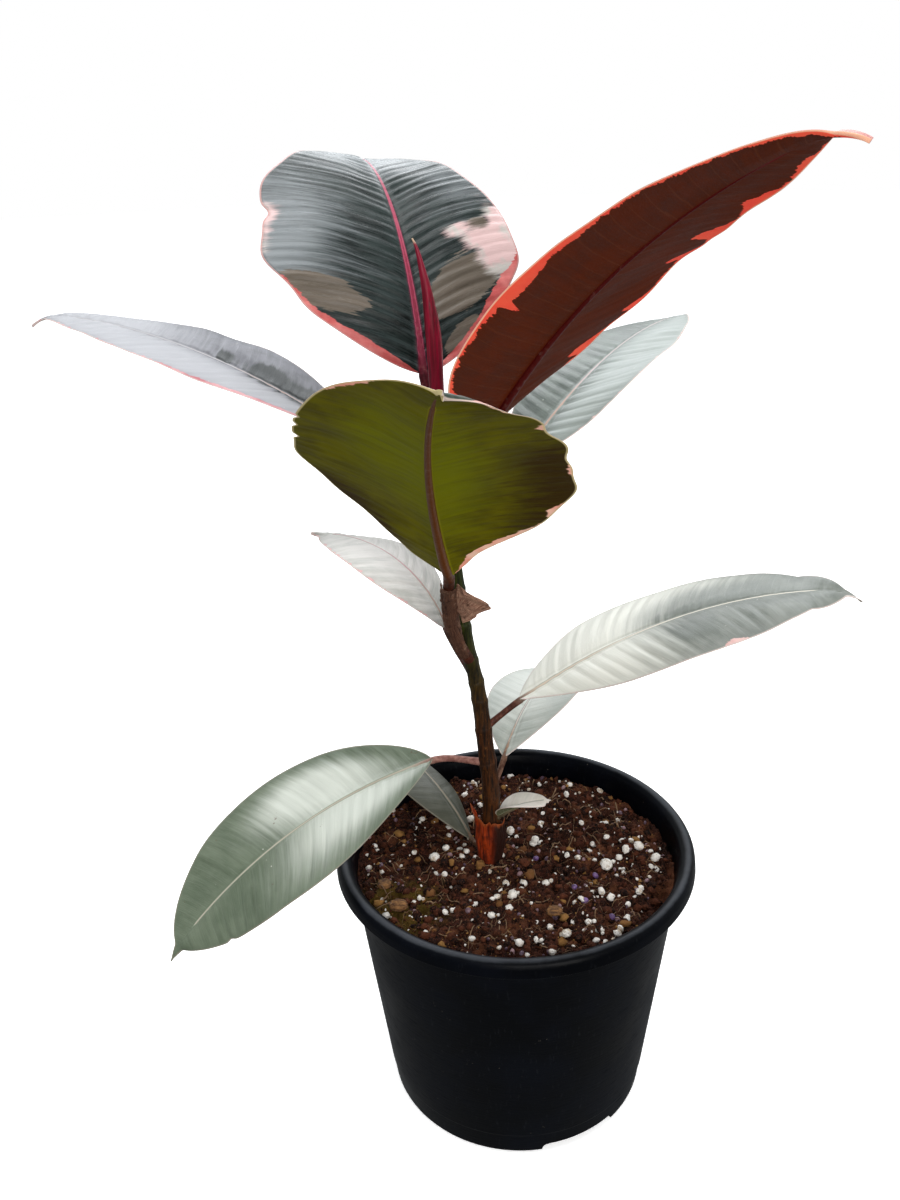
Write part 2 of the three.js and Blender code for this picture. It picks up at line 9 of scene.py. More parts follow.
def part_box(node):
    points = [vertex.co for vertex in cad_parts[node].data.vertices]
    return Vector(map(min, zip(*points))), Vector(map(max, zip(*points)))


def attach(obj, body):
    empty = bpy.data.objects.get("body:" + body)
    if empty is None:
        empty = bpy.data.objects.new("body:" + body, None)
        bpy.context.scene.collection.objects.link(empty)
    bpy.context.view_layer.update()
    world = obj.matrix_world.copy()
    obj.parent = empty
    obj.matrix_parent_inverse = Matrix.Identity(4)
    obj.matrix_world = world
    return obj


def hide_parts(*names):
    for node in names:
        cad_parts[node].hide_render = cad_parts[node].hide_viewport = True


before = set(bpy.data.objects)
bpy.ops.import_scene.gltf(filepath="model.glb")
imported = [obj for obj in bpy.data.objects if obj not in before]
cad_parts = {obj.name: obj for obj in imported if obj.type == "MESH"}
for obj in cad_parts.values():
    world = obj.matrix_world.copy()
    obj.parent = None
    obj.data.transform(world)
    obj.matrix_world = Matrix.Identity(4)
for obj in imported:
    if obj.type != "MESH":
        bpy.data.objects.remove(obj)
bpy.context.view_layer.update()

# Metres and +Z up. The pot's underside stands on z = 0 and its centre is the origin. An azimuth is
# measured from +X towards +Y, and a rise from the horizontal, both in degrees.

# ---------------------------------------------------------------- camera, floor and light
# The plant stands on a plain white floor under a pale sky. A broad panel behind and above it gives the
# waxy leaf tops their silver sheen, one overhead lights the rest, and one in front fills the near sides.

scene = bpy.context.scene
scene.view_settings.view_transform = "Standard"

camera = bpy.data.objects.new("plant_camera", bpy.data.cameras.new("plant_camera"))
scene.collection.objects.link(camera)
scene.camera = camera
camera.data.lens = 33
camera.data.sensor_width = 36
camera.data.clip_start = 0.01
pan = Matrix.Rotation(math.radians(3.55), 4, "Z")
pitch = Matrix.Rotation(math.radians(66.08), 4, "X")
tilt = Matrix.Rotation(math.radians(-1.92), 4, "Z")
camera.matrix_world = Matrix.Translation((0, -0.4210, 0.4387)) @ pan @ pitch @ tilt


def hang_panel(name, centre, aim, wide, high, watts, tint):
    """A rectangular light panel at centre that faces aim."""
    light = bpy.data.lights.new(name, "AREA")
    light.shape = "RECTANGLE"
    light.size = wide
    light.size_y = high
    light.energy = watts
    light.color = tint
    panel = bpy.data.objects.new(name, light)
    facing = (Vector(aim) - Vector(centre)).to_track_quat("-Z", "Y")
    panel.matrix_world = Matrix.Translation(centre) @ facing.to_matrix().to_4x4()
    panel.visible_camera = False
    scene.collection.objects.link(panel)


hang_panel("back_panel", (0.1, 1.7, 1.5), (0, 0, 0.25), 2.2, 1.2, 24, (0.94, 0.97, 1.0))
hang_panel("top_panel", (-0.2, 0.0, 1.9), (0, 0, 0.2), 1.4, 1.0, 16, (1.0, 1.0, 1.0))
hang_panel("front_panel", (0.5, -1.7, 0.9), (0, 0, 0.2), 1.4, 1.0, 20, (1.0, 0.98, 0.95))

sky = bpy.data.worlds.new("pale_sky")
scene.world = sky
sky.use_nodes = True
sky.node_tree.nodes.clear()
sky_nodes = sky.node_tree.nodes
sky_links = sky.node_tree.links
toward_sky = sky_nodes.new("ShaderNodeTexCoord")
overhead = sky_nodes.new("ShaderNodeVectorMath")
overhead.operation = "DOT_PRODUCT"
overhead.inputs[1].default_value = (0.1, 0.5, 0.86)
brightness = sky_nodes.new("ShaderNodeMapRange")
brightness.interpolation_type = "SMOOTHSTEP"
for key, value in (("From Min", -0.5), ("From Max", 1.0), ("To Min", 0.22), ("To Max", 0.80)):
    brightness.inputs[key].default_value = value
lit = sky_nodes.new("ShaderNodeBackground")
lit.inputs["Color"].default_value = (0.95, 0.98, 1.0, 1.0)
seen = sky_nodes.new("ShaderNodeBackground")
seen.inputs["Color"].default_value = (1.0, 1.0, 1.0, 1.0)
ray = sky_nodes.new("ShaderNodeLightPath")
choice = sky_nodes.new("ShaderNodeMixShader")
sky_out = sky_nodes.new("ShaderNodeOutputWorld")
sky_links.new(toward_sky.outputs["Generated"], overhead.inputs[0])
sky_links.new(overhead.outputs["Value"], brightness.inputs["Value"])
sky_links.new(brightness.outputs[0], lit.inputs["Strength"])
sky_links.new(ray.outputs["Is Camera Ray"], choice.inputs[0])
sky_links.new(lit.outputs[0], choice.inputs[1])
sky_links.new(seen.outputs[0], choice.inputs[2])
sky_links.new(choice.outputs[0], sky_out.inputs["Surface"])


def paint(code):
    """The linear colour of a hex code: a channel c becomes c / 12.92 where it is dark, and
    ((c + 0.055) / 1.055) to the power 2.4 elsewhere."""
    c = np.array([int(code[i:i + 2], 16) for i in (1, 3, 5)]) / 255
    linear = np.where(c <= 0.04045, c / 12.92, ((c + 0.055) / 1.055) ** 2.4)
    return (*linear.tolist(), 1.0)


class Finish:
    """A procedural material, whose colour is built up in shade. Most methods add one node and return its
    output."""

    def __init__(self, name):
        self.material = bpy.data.materials.new(name)
        self.material.use_nodes = True
        self.tree = self.material.node_tree
        self.tree.nodes.clear()
        self.shade = None

    def node(self, kind, inputs, **settings):
        """One shader node: each input is linked if it is a socket, and otherwise set."""
        made = self.tree.nodes.new("ShaderNode" + kind)
        for key, value in settings.items():
            setattr(made, key, value)
        for key, value in inputs.items():
            if isinstance(value, bpy.types.NodeSocket):
                self.tree.links.new(value, made.inputs[key])
            else:
                made.inputs[key].default_value = value
        return made

    def place(self):
        return self.node("TexCoord", {}).outputs["Object"]

    def attribute(self, name):
        return self.node("Attribute", {}, attribute_name=name).outputs["Vector"]

    def value(self, name):
        return self.node("Attribute", {}, attribute_name=name).outputs["Fac"]

    def split(self, vector):
        return self.node("SeparateXYZ", {0: vector}).outputs

    def join(self, x, y, z):
        return self.node("CombineXYZ", {0: x, 1: y, 2: z}).outputs[0]

    def stretch(self, vector, scale):
        return self.node("Mapping", {"Vector": vector, "Scale": scale}).outputs[0]

    def noise(self, where, scale, detail=3.0, rough=0.55):
        inputs = {"Vector": where, "Scale": scale, "Detail": detail, "Roughness": rough}
        return self.node("TexNoise", inputs).outputs[0]

    def cells(self, where, scale):
        return self.node("TexVoronoi", {"Vector": where, "Scale": scale}).outputs["Distance"]

    def sum(self, a, b):
        return self.node("Math", {0: a, 1: b}, operation="ADD").outputs[0]

    def times(self, a, b):
        return self.node("Math", {0: a, 1: b}, operation="MULTIPLY").outputs[0]

    def bounce(self, a, length):
        return self.node("Math", {0: a, 1: length}, operation="PINGPONG").outputs[0]

    def span(self, value, low, high, start=0.0, stop=1.0):
        """Smoothstep from start, where the value is low, to stop, where it is high."""
        inputs = {"Value": value, "From Min": low, "From Max": high, "To Min": start, "To Max": stop}
        return self.node("MapRange", inputs, interpolation_type="SMOOTHSTEP").outputs[0]

    def mix(self, amount, a, b):
        """The colour a, turning to b as the amount goes from 0 to 1. Either may be a hex code."""
        a, b = (paint(end) if isinstance(end, str) else end for end in (a, b))
        return self.node("Mix", {0: amount, 6: a, 7: b}, data_type="RGBA").outputs[2]

    def cover(self, colour, amount):
        """Lays a colour over the shade by an amount from 0 to 1."""
        self.shade = self.mix(amount, self.shade, colour)

    def layer(self, colour, value, low, high, most=1.0):
        """Lays a colour over the shade: none where the value is low, as much as most where it is high."""
        self.cover(colour, self.span(value, low, high, 0.0, most))

    def bump(self, height, depth):
        return self.node("Bump", {"Height": height, "Distance": depth, "Strength": 1.0}).outputs[0]

    def surface(self, **inputs):
        """Ends the material in a Principled shader of the shade, with its inputs named in small letters."""
        named = {key.replace("_", " ").title(): value for key, value in inputs.items()}
        named["Base Color"] = self.shade
        if "Specular Level" in named:
            named["Specular IOR Level"] = named.pop("Specular Level")
        shader = self.node("BsdfPrincipled", named)
        self.node("OutputMaterial", {"Surface": shader.outputs[0]})
        return self.material


def make_piece(name, points, faces, looks, face_looks=None):
    """A smooth mesh object from an array of points and lists of faces, with one material slot for each
    look."""
    mesh = bpy.data.meshes.new(name)
    mesh.from_pydata(points.reshape(-1, 3).tolist(), [], faces)
    for look in looks:
        mesh.materials.append(look)
    mesh.polygons.foreach_set("use_smooth", np.ones(len(mesh.polygons), bool))
    if face_looks is not None:
        mesh.polygons.foreach_set("material_index", face_looks)
    mesh.update()
    piece = bpy.data.objects.new(name, mesh)
    scene.collection.objects.link(piece)
    return piece


def revolve(outline, sides):
    """Rings of points about the Z axis, one for each radius and height of the outline."""
    turn = np.arange(sides) * 2 * np.pi / sides
    radius, height = np.asarray(outline, float).T[..., None]
    return np.stack([radius * np.cos(turn), radius * np.sin(turn), height + 0 * turn], axis=-1)


FLOOR_RADIUS = 6
FLOOR_SIDES = 96
FLOOR_GAP = 0.0002         # how far the floor lies below the pot's underside
floor_finish = Finish("studio_floor")
floor_grain = floor_finish.noise(floor_finish.place(), 40.0)
floor_finish.shade = floor_finish.mix(floor_grain, "#f7f7f7", "#fbfbfb")
floor_look = floor_finish.surface(
    roughness=0.9, specular_level=0.0, emission_color=(1.0, 1.0, 1.0, 1.0), emission_strength=0.55,
)
floor_edge = revolve([(FLOOR_RADIUS, -FLOOR_GAP)], FLOOR_SIDES)
studio_floor = make_piece("studio_floor", floor_edge, [list(range(FLOOR_SIDES))], [floor_look])
studio_floor.visible_diffuse = False
studio_floor.visible_glossy = False

# ---------------------------------------------------------------- nursery pot
# A thin injection-moulded pot of black polypropylene, scuffed and dusty. Its lip is rolled over into a
# skirt, a fine ridge runs round below it, and three arched notches in the foot let the water out.

POT_HEIGHT = 0.130
FOOT_RADIUS = 0.061
LIP_RADIUS = 0.0825
CROWN_RADIUS = 0.0794
WALL_TOP = 0.0757
WALL = 0.0013
POT_FLOOR = 0.002
LIP_FOOT = 0.123
RIDGE_Z = 0.117
NOTCHES = (-61, 59, 179)


def soften(corners, radii, steps=5):
    """A polyline with rounded corners. Round each corner runs a quadratic curve between the points that
    lie its radius away along both sides, with the corner as the middle control point."""
    corners = np.asarray(corners, float)
    t = np.linspace(0, 1, steps + 1)[:, None]
    parts = [corners[:1]]
    for before, corner, after, radius in zip(corners[:-2], corners[1:-1], corners[2:], radii[1:-1]):
        start = corner + (before - corner) * min(radius / np.linalg.norm(before - corner), 0.49)
        stop = corner + (after - corner) * min(radius / np.linalg.norm(after - corner), 0.49)
        parts.append((1 - t) ** 2 * start + 2 * t * (1 - t) * corner + t ** 2 * stop)
    parts.append(corners[-1:])
    return np.concatenate(parts)


def ring_faces(rings, sides):
    """Quads between neighbouring rings of points, each ring closing on itself."""
    i, j = np.meshgrid(np.arange(rings - 1), np.arange(sides), indexing="ij")
    a = i * sides + j
    b = i * sides + (j + 1) % sides
    return np.stack([a, b, b + sides, a + sides], axis=-1).reshape(-1, 4)


def weld(piece, gap=1e-7):
    """Joins points that lie on each other and turns every face outwards."""
    work = bmesh.new()
    work.from_mesh(piece.data)
    bmesh.ops.remove_doubles(work, verts=work.verts, dist=gap)
    bmesh.ops.dissolve_degenerate(work, edges=work.edges, dist=gap)
    bmesh.ops.recalc_face_normals(work, faces=work.faces)
    work.to_mesh(piece.data)
    work.free()


def stand_for(piece, slot, *nodes):
    """The piece rides on the plant's one body and takes the place of its CAD nodes. The slot is not used."""
    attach(piece, "root")
    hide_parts(*nodes)


def wall_radius(z):
    """The wall's outer radius, which widens evenly from the foot to the wall's top."""
    return FOOT_RADIUS + (WALL_TOP - FOOT_RADIUS) * z / LIP_FOOT


pot_corners = [
    (0, 0.0006), (FOOT_RADIUS - 0.008, 0.0006), (FOOT_RADIUS - 0.006, 0), (FOOT_RADIUS - 0.0012, 0),
    (wall_radius(0.0016), 0.0016), (wall_radius(0.0125), 0.0125), (wall_radius(0.013) + 0.0003, 0.013),
    (wall_radius(RIDGE_Z - 0.0011), RIDGE_Z - 0.0011), (wall_radius(RIDGE_Z) + 0.0008, RIDGE_Z - 0.0005),
    (wall_radius(RIDGE_Z) + 0.0008, RIDGE_Z + 0.0005), (wall_radius(RIDGE_Z + 0.0012), RIDGE_Z + 0.0012),
    (wall_radius(POT_HEIGHT - 0.004), POT_HEIGHT - 0.004), (WALL_TOP + 0.002, POT_HEIGHT - 0.002),
    (LIP_RADIUS - 0.0024, POT_HEIGHT - 0.0026), (LIP_RADIUS - WALL, LIP_FOOT), (LIP_RADIUS, LIP_FOOT),
    (LIP_RADIUS - 0.0004, POT_HEIGHT - 0.0026), (LIP_RADIUS - 0.0014, POT_HEIGHT - 0.0008),
    (CROWN_RADIUS, POT_HEIGHT), (CROWN_RADIUS - 0.0018, POT_HEIGHT - 0.0004),
    (WALL_TOP - WALL + 0.0012, POT_HEIGHT - 0.0018), (WALL_TOP - WALL, POT_HEIGHT - 0.005),
    (wall_radius(POT_FLOOR) - WALL, POT_FLOOR + 0.0005), (0, POT_FLOOR),
]
pot_rounds = [
    0, 0.0004, 0.0004, 0.0010, 0.0010, 0.0004, 0.0004, 0.0004, 0.0004, 0.0004, 0.0004, 0.0015, 0.0009,
    0.0009, 0.0003, 0.0004, 0.0010, 0.0010, 0.0012, 0.0009, 0.0010, 0.0014, 0.0012, 0,
]
pot_outline = soften(pot_corners, pot_rounds)
POT_SIDES = 240
pot_points = revolve(pot_outline, POT_SIDES)

plastic = Finish("black_pot_plastic")
place = plastic.place()
cloudy = plastic.noise(place, 28.0, 5.0, 0.6)
scuffs = plastic.noise(plastic.stretch(place, (60.0, 60.0, 9.0)), 14.0, 4.0, 0.7)
scratches = plastic.noise(plastic.stretch(place, (14.0, 14.0, 110.0)), 10.0, 2.0, 0.5)
dust = plastic.span(plastic.cells(place, 330.0), 0.13, 0.05)
dust = plastic.times(dust, plastic.span(plastic.noise(place, 60.0), 0.56, 0.70))
plastic.shade = plastic.mix(plastic.span(cloudy, 0.35, 0.7), "#030407", "#070a12")
plastic.cover("#26282c", plastic.times(plastic.span(scuffs, 0.58, 0.78), 0.6))
# Painted highlight: a lighter grey band all round the crest of the lip.
crown_highlight = plastic.span(plastic.sum(plastic.split(place)[2], plastic.times(cloudy, 0.0016)), 0.1300, 0.1309)
plastic.cover("#484b51", plastic.times(crown_highlight, 0.8))
plastic.cover("#6b655c", plastic.times(dust, 0.45))
gloss = plastic.span(cloudy, 0.3, 0.7, 0.30, 0.42)
gloss = plastic.sum(gloss, plastic.span(scratches, 0.5, 0.8, 0.0, 0.14))
pot_look = plastic.surface(
    roughness=gloss, specular_level=0.07,
    normal=plastic.bump(plastic.sum(scratches, plastic.times(cloudy, 0.6)), 0.00006),
)

pot_faces = ring_faces(len(pot_outline), POT_SIDES).tolist()
pot = make_piece("black_nursery_pot", pot_points, pot_faces, [pot_look])
weld(pot)

arch_corners = [(-0.019, -0.002), (-0.019, 0.005), (0.019, 0.005), (0.019, -0.002)]
arch = soften(arch_corners, [0, 0.0035, 0.0035, 0], 8)
for azimuth in NOTCHES:
    out = np.array([math.cos(math.radians(azimuth)), math.sin(math.radians(azimuth)), 0])
    side = np.array([-out[1], out[0], 0])
    reach = np.array([FOOT_RADIUS - 0.009, FOOT_RADIUS + 0.006])
    ends = reach[:, None, None] * out + arch[None, :, :1] * side + arch[None, :, 1:] * np.array([0, 0, 1])
    count = len(arch)
    cutter_faces = ring_faces(2, count).tolist() + [list(range(count)), list(range(count, 2 * count))]
    cutter = make_piece("notch_cutter", ends, cutter_faces, [])
    weld(cutter)
    cut = pot.modifiers.new("notch", "BOOLEAN")
    cut.operation = "DIFFERENCE"
    cut.solver = "EXACT"
    cut.object = cutter
    solid = bpy.data.meshes.new_from_object(pot.evaluated_get(bpy.context.evaluated_depsgraph_get()))
    pot.modifiers.clear()
    pot.data = solid
    bpy.data.objects.remove(cutter)
pot.data.set_sharp_from_angle(angle=math.radians(35))
stand_for(pot, "pot_plastic", "nursery_pot")

# ---------------------------------------------------------------- potting soil
# Peat and fine bark, filled to 10 mm below the rim: a rough bed made from folded random fields, with
# crumbs, root fibres and small fertiliser granules lying loose on it.

SOIL_LEVEL = 0.120
SOIL_RADIUS = 0.0734
STREWN_RADIUS = 0.0712
SOIL_CRUMBS = (
    (0.011, 0.0034, 3), (0.0058, 0.0030, 4), (0.0029, 0.0022, 5), (0.0014, 0.0013, 6),
)                                                                     # size, depth and seed
MOSS_CENTRE = (-0.050, -0.036, 0.120)


def drift(u, v, seed):
    """Smooth random numbers from -1 to 1. Seeded numbers stand on the whole-number points of a lattice,
    and each place between them takes the smoothstep-weighted mean of its four neighbours."""
    table = np.random.default_rng(seed).uniform(-1, 1, (256, 256))
    i, j = np.floor(u).astype(int), np.floor(v).astype(int)
    a, b = u - i, v - j
    a, b = a * a * (3 - 2 * a), b * b * (3 - 2 * b)
    near = table[i % 256, j % 256] * (1 - a) + table[(i + 1) % 256, j % 256] * a
    far = table[i % 256, (j + 1) % 256] * (1 - a) + table[(i + 1) % 256, (j + 1) % 256] * a
    return near * (1 - b) + far * b


def soil_height(x, y):
    """The bed's height: its level, three long waves, and four sizes of crumb, each a folded random field
    that leaves rounded tops and sharp valleys."""
    waves = np.sin(x / 0.0073 + y / 0.0119) + np.sin(y / 0.0061 - x / 0.0157 + 1)
    waves = waves + np.sin((x + y) / 0.0049 + 2)
    crumbs = 0
    for size, depth, seed in SOIL_CRUMBS:
        crumbs = crumbs - depth * np.abs(drift(x / size, y / size, seed))
    sag = -0.0015 * np.clip((np.hypot(x, y) - 0.064) / 0.009, 0, 1)
    return SOIL_LEVEL + 0.0006 * waves + crumbs + 0.0024 + sag


BED_RINGS = 150
BED_SIDES = 500
BED_FOOT = 0.0023
turn = np.arange(BED_SIDES) * 2 * np.pi / BED_SIDES
reach = np.linspace(0, SOIL_RADIUS, BED_RINGS)[:, None]
bed_x, bed_y = reach * np.cos(turn), reach * np.sin(turn)
bed_top = np.stack([bed_x, bed_y, soil_height(bed_x, bed_y)], axis=-1)
bed_foot = revolve([(wall_radius(BED_FOOT) - WALL - 0.0006, BED_FOOT), (0, BED_FOOT)], BED_SIDES)
bed_points = np.concatenate([bed_top, bed_foot])

peat = Finish("moist_peat")
place = peat.place()
coarse = peat.noise(place, 330.0, 5.0, 0.65)
fine = peat.noise(place, 1900.0, 3.0, 0.6)
clods = peat.noise(place, 75.0, 3.0, 0.6)
peat.shade = peat.mix(peat.span(coarse, 0.32, 0.7), "#0e0503", "#47241a")
peat.layer("#6a4029", clods, 0.50, 0.68, 0.8)
peat.layer("#0b0504", clods, 0.46, 0.34, 0.8)
peat.layer("#8a5c47", fine, 0.52, 0.78)
apart = peat.node("VectorMath", {0: place, 1: MOSS_CENTRE}, operation="DISTANCE").outputs["Value"]
peat.layer("#5a4a16", peat.sum(apart, peat.times(clods, 0.03)), 0.040, 0.026, 0.6)
crumbled = peat.bump(peat.sum(coarse, fine), 0.0005)
peat_look = peat.surface(roughness=0.92, specular_level=0.15, normal=crumbled)
bed = make_piece("peat_bed", bed_points, ring_faces(BED_RINGS + 2, BED_SIDES).tolist(), [peat_look])
weld(bed)
stand_for(bed, "soil", "potting_soil")


def round_stone(level):
    """The points and triangles of a ball of radius 1, whose triangles come from an icosahedron."""
    work = bmesh.new()
    bmesh.ops.create_icosphere(work, subdivisions=level, radius=1)
    points = np.array([v.co[:] for v in work.verts])
    faces = np.array([[v.index for v in f.verts] for f in work.faces])
    work.free()
    return points, faces


def scatter(name, spots, sizes, tones, level, rough, squash, look, seed, slot, *nodes):
    """Lumps at spots: each is the ball, swollen at each point by a seeded random amount, stretched along
    three axes, turned at random, and flattened by squash. Its tone is kept on its points."""
    rng = np.random.default_rng(seed)
    ball, triangles = round_stone(level)
    count = len(spots)
    swell = 1 + rough * rng.uniform(-1, 1, (count, len(ball), 1))
    axes = rng.uniform(0.7, 1.25, (count, 1, 3))
    spin = np.linalg.qr(rng.normal(size=(count, 3, 3)))[0]
    lumps = np.einsum("nij,nkj->nki", spin, ball[None] * swell * axes)
    lumps = lumps * sizes[:, None, None] * np.array([1, 1, squash])
    points = (lumps + spots[:, None, :]).reshape(-1, 3)
    faces = (triangles[None] + (np.arange(count) * len(ball))[:, None, None]).reshape(-1, 3)
    piece = make_piece(name, points, faces.tolist(), [look])
    tone = piece.data.attributes.new("tone", "FLOAT", "POINT")
    tone.data.foreach_set("value", np.repeat(tones, len(ball)).astype(np.float32))
    weld(piece)
    stand_for(piece, slot, *nodes)


def strewn(count, small, large, lift, seed):
    """Random spots on the bed, evenly spread over its area, with sizes between small and large, most of
    them small, each raised by lift times its size."""
    rng = np.random.default_rng(seed)
    reach = np.sqrt(rng.uniform(0, STREWN_RADIUS ** 2, count))
    turn = rng.uniform(0, 2 * np.pi, count)
    sizes = small + (large - small) * rng.uniform(0, 1, count) ** 2.6
    x, y = reach * np.cos(turn), reach * np.sin(turn)
    spots = np.stack([x, y, soil_height(x, y) + lift * sizes], axis=1)
    return spots, sizes, rng.uniform(0, 1, count)


crumb = Finish("peat_crumb")
tone = crumb.value("tone")
fine = crumb.noise(crumb.place(), 1300.0, 4.0, 0.65)
crumb.shade = crumb.mix(crumb.span(tone, 0.15, 0.85), "#120604", "#522b1b")
crumb.layer("#99713f", tone, 0.88, 0.96)
crumb.layer("#7d4c36", fine, 0.48, 0.75, 0.7)
crumb_look = crumb.surface(roughness=0.9, specular_level=0.15, normal=crumb.bump(fine, 0.0005))
spots, sizes, tones = strewn(2400, 0.0004, 0.0021, 0.25, 11)
scatter("peat_crumbs", spots, sizes, tones, 2, 0.34, 0.75, crumb_look, 12, "soil", "potting_soil")
spots, sizes, tones = strewn(6500, 0.0002, 0.0006, 0.6, 13)
scatter("peat_specks", spots, sizes, tones, 1, 0.30, 0.8, crumb_look, 14, "soil", "potting_soil")

granule = Finish("fertiliser_granule")
tone = granule.value("tone")
fine = granule.noise(granule.place(), 900.0)
granule.shade = granule.mix(granule.span(tone, 0.2, 0.8), "#4a3346", "#8f6f73")
granule.layer("#b59aa0", fine, 0.45, 0.7, 0.5)
granule_look = granule.surface(roughness=0.55, normal=granule.bump(fine, 0.00015))
spots, sizes, tones = strewn(150, 0.0007, 0.0014, 0.55, 21)
scatter("small_granules", spots, sizes, tones, 2, 0.05, 1.0, granule_look, 22, "fertiliser", "potting_soil")

FIBRES = 360
FIBRE_STEPS = 7
FIBRE_SIDES = 3
rng = np.random.default_rng(31)
t = np.linspace(-1, 1, FIBRE_STEPS)
start = np.sqrt(rng.uniform(0, 0.067 ** 2, (FIBRES, 1)))
turn = rng.uniform(0, 2 * np.pi, (FIBRES, 1))
heading = rng.uniform(0, 2 * np.pi, (FIBRES, 1))
half = 0.0015 + 0.0045 * rng.uniform(0, 1, (FIBRES, 1)) ** 2
bow = rng.uniform(-0.35, 0.35, (FIBRES, 1)) * half
x = start * np.cos(turn) + half * t * np.cos(heading) - bow * t ** 2 * np.sin(heading)
y = start * np.sin(turn) + half * t * np.sin(heading) + bow * t ** 2 * np.cos(heading)
z = soil_height(x, y) + 0.0004 + rng.uniform(0, 0.0016, (FIBRES, 1)) * (1 - t ** 2)
thick = 0.00008 + 0.00026 * rng.uniform(0, 1, (FIBRES, 1, 1)) ** 2
corner = np.arange(FIBRE_SIDES) * 2 * np.pi / FIBRE_SIDES
across = np.stack([-np.sin(heading) + 0 * t, np.cos(heading) + 0 * t, 0 * t + 0 * heading], axis=-1)
fibre_rings = np.stack([x, y, z], axis=-1)[:, :, None] + thick[..., None] * (
    np.cos(corner)[:, None] * across[:, :, None] + np.sin(corner)[:, None] * np.array([0, 0, 1])
)
shifts = (np.arange(FIBRES) * FIBRE_STEPS * FIBRE_SIDES)[:, None, None]
fibre_faces = (ring_faces(FIBRE_STEPS, FIBRE_SIDES)[None] + shifts).reshape(-1, 4).tolist()
last = (FIBRE_STEPS - 1) * FIBRE_SIDES
ends = np.array([[2, 1, 0], [last, last + 1, last + 2]])
fibre_faces += (ends[None] + shifts).reshape(-1, 3).tolist()
root = Finish("root_fibre")
root.shade = root.mix(root.noise(root.place(), 160.0), "#3c2216", "#b8946f")
fibres = make_piece("root_fibres", fibre_rings, fibre_faces, [root.surface(roughness=0.8)])
weld(fibres)
stand_for(fibres, "soil", "potting_soil")

# ---------------------------------------------------------------- perlite, prills and bark
# Grains that lie loose on the peat: puffed white perlite, round coated fertiliser prills, and flat chips
# of bark. The CAD's grains stand in their places, and smaller perlite is strewn between them.


def grain_spots(names, sink):
    """Centres and half sizes of the CAD's grains, each lowered by sink times its height."""
    boxes = [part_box(name) for name in names]
    low = np.array([box[0][:] for box in boxes])
    high = np.array([box[1][:] for box in boxes])
    centres = (low + high) / 2
    centres[:, 2] -= sink * (high - low)[:, 2]
    return centres, (high - low).mean(axis=1) / 2


def named(prefix, count):
    """The names of the CAD's grains of one kind."""
    return [f"{prefix}_{i + 1:02d}" for i in range(count)]


PERLITE = named("perlite", 22)
PRILLS = named("prill", 5)
CHIPS = named("bark_chip", 3)

puffed = Finish("puffed_perlite")
place = puffed.place()
pits = puffed.cells(place, 900.0)
stain = puffed.noise(place, 260.0, 4.0)
puffed.shade = puffed.mix(puffed.span(pits, 0.05, 0.35), "#b0a39a", "#f2ede6")
puffed.layer("#a58a63", stain, 0.50, 0.68, 0.75)
puffed_look = puffed.surface(roughness=0.85, normal=puffed.bump(pits, 0.0004))
centres, sizes = grain_spots(PERLITE, 0.15)
scatter("perlite_grains", centres, sizes, 0 * sizes, 3, 0.15, 0.9, puffed_look, 41, "perlite", *PERLITE)
spots, sizes, tones = strewn(420, 0.0004, 0.0018, 0.45, 42)
scatter("perlite_bits", spots, sizes, tones, 2, 0.20, 0.85, puffed_look, 43, "perlite", *PERLITE)

coated = Finish("coated_prill")
sheen = coated.noise(coated.place(), 500.0)
coated.shade = coated.mix(coated.span(sheen, 0.35, 0.65), "#3f2c50", "#7d5f92")
coated_look = coated.surface(roughness=0.35, normal=coated.bump(sheen, 0.0001))
centres, sizes = grain_spots(PRILLS, 0.2)
tones = 0 * sizes
scatter("fertiliser_prills", centres, sizes, tones, 3, 0.02, 1.0, coated_look, 44, "fertiliser", *PRILLS)

bark = Finish("bark_chip")
layers = bark.noise(bark.stretch(bark.place(), (160.0, 500.0, 900.0)), 1.5, 5.0, 0.7)
bark.shade = bark.mix(bark.span(layers, 0.35, 0.68), "#3a1f0e", "#96693a")
bark_look = bark.surface(roughness=0.85, normal=bark.bump(layers, 0.0006))
centres, sizes = grain_spots(CHIPS, 0.2)
scatter("bark_chips", centres, sizes * 1.1, 0 * sizes, 3, 0.10, 0.42, bark_look, 45, "bark", *CHIPS)

# ---------------------------------------------------------------- stem
# One upright woody stem, brown and streaked at the foot and green above, with a ring scar and a slight
# swelling where each leaf grew. Its lower end goes down into the peat.

STEM = np.array([
    (-0.0116, 0.084, 0.0032), (-0.0116, 0.114, 0.0043), (-0.0110, 0.128, 0.0041), (-0.0105, 0.158, 0.0039),
    (-0.0123, 0.179, 0.0037), (-0.0153, 0.209, 0.0033), (-0.0195, 0.232, 0.0030), (-0.0233, 0.265, 0.0028),
    (-0.0258, 0.304, 0.0026), (-0.0284, 0.340, 0.0026),
])                                                                    # x, z and radius, in the plane y = 0
NODES = (0.125, 0.140, 0.155, 0.172, 0.189, 0.204, 0.213, 0.223, 0.240, 0.257, 0.275, 0.289, 0.309, 0.322)


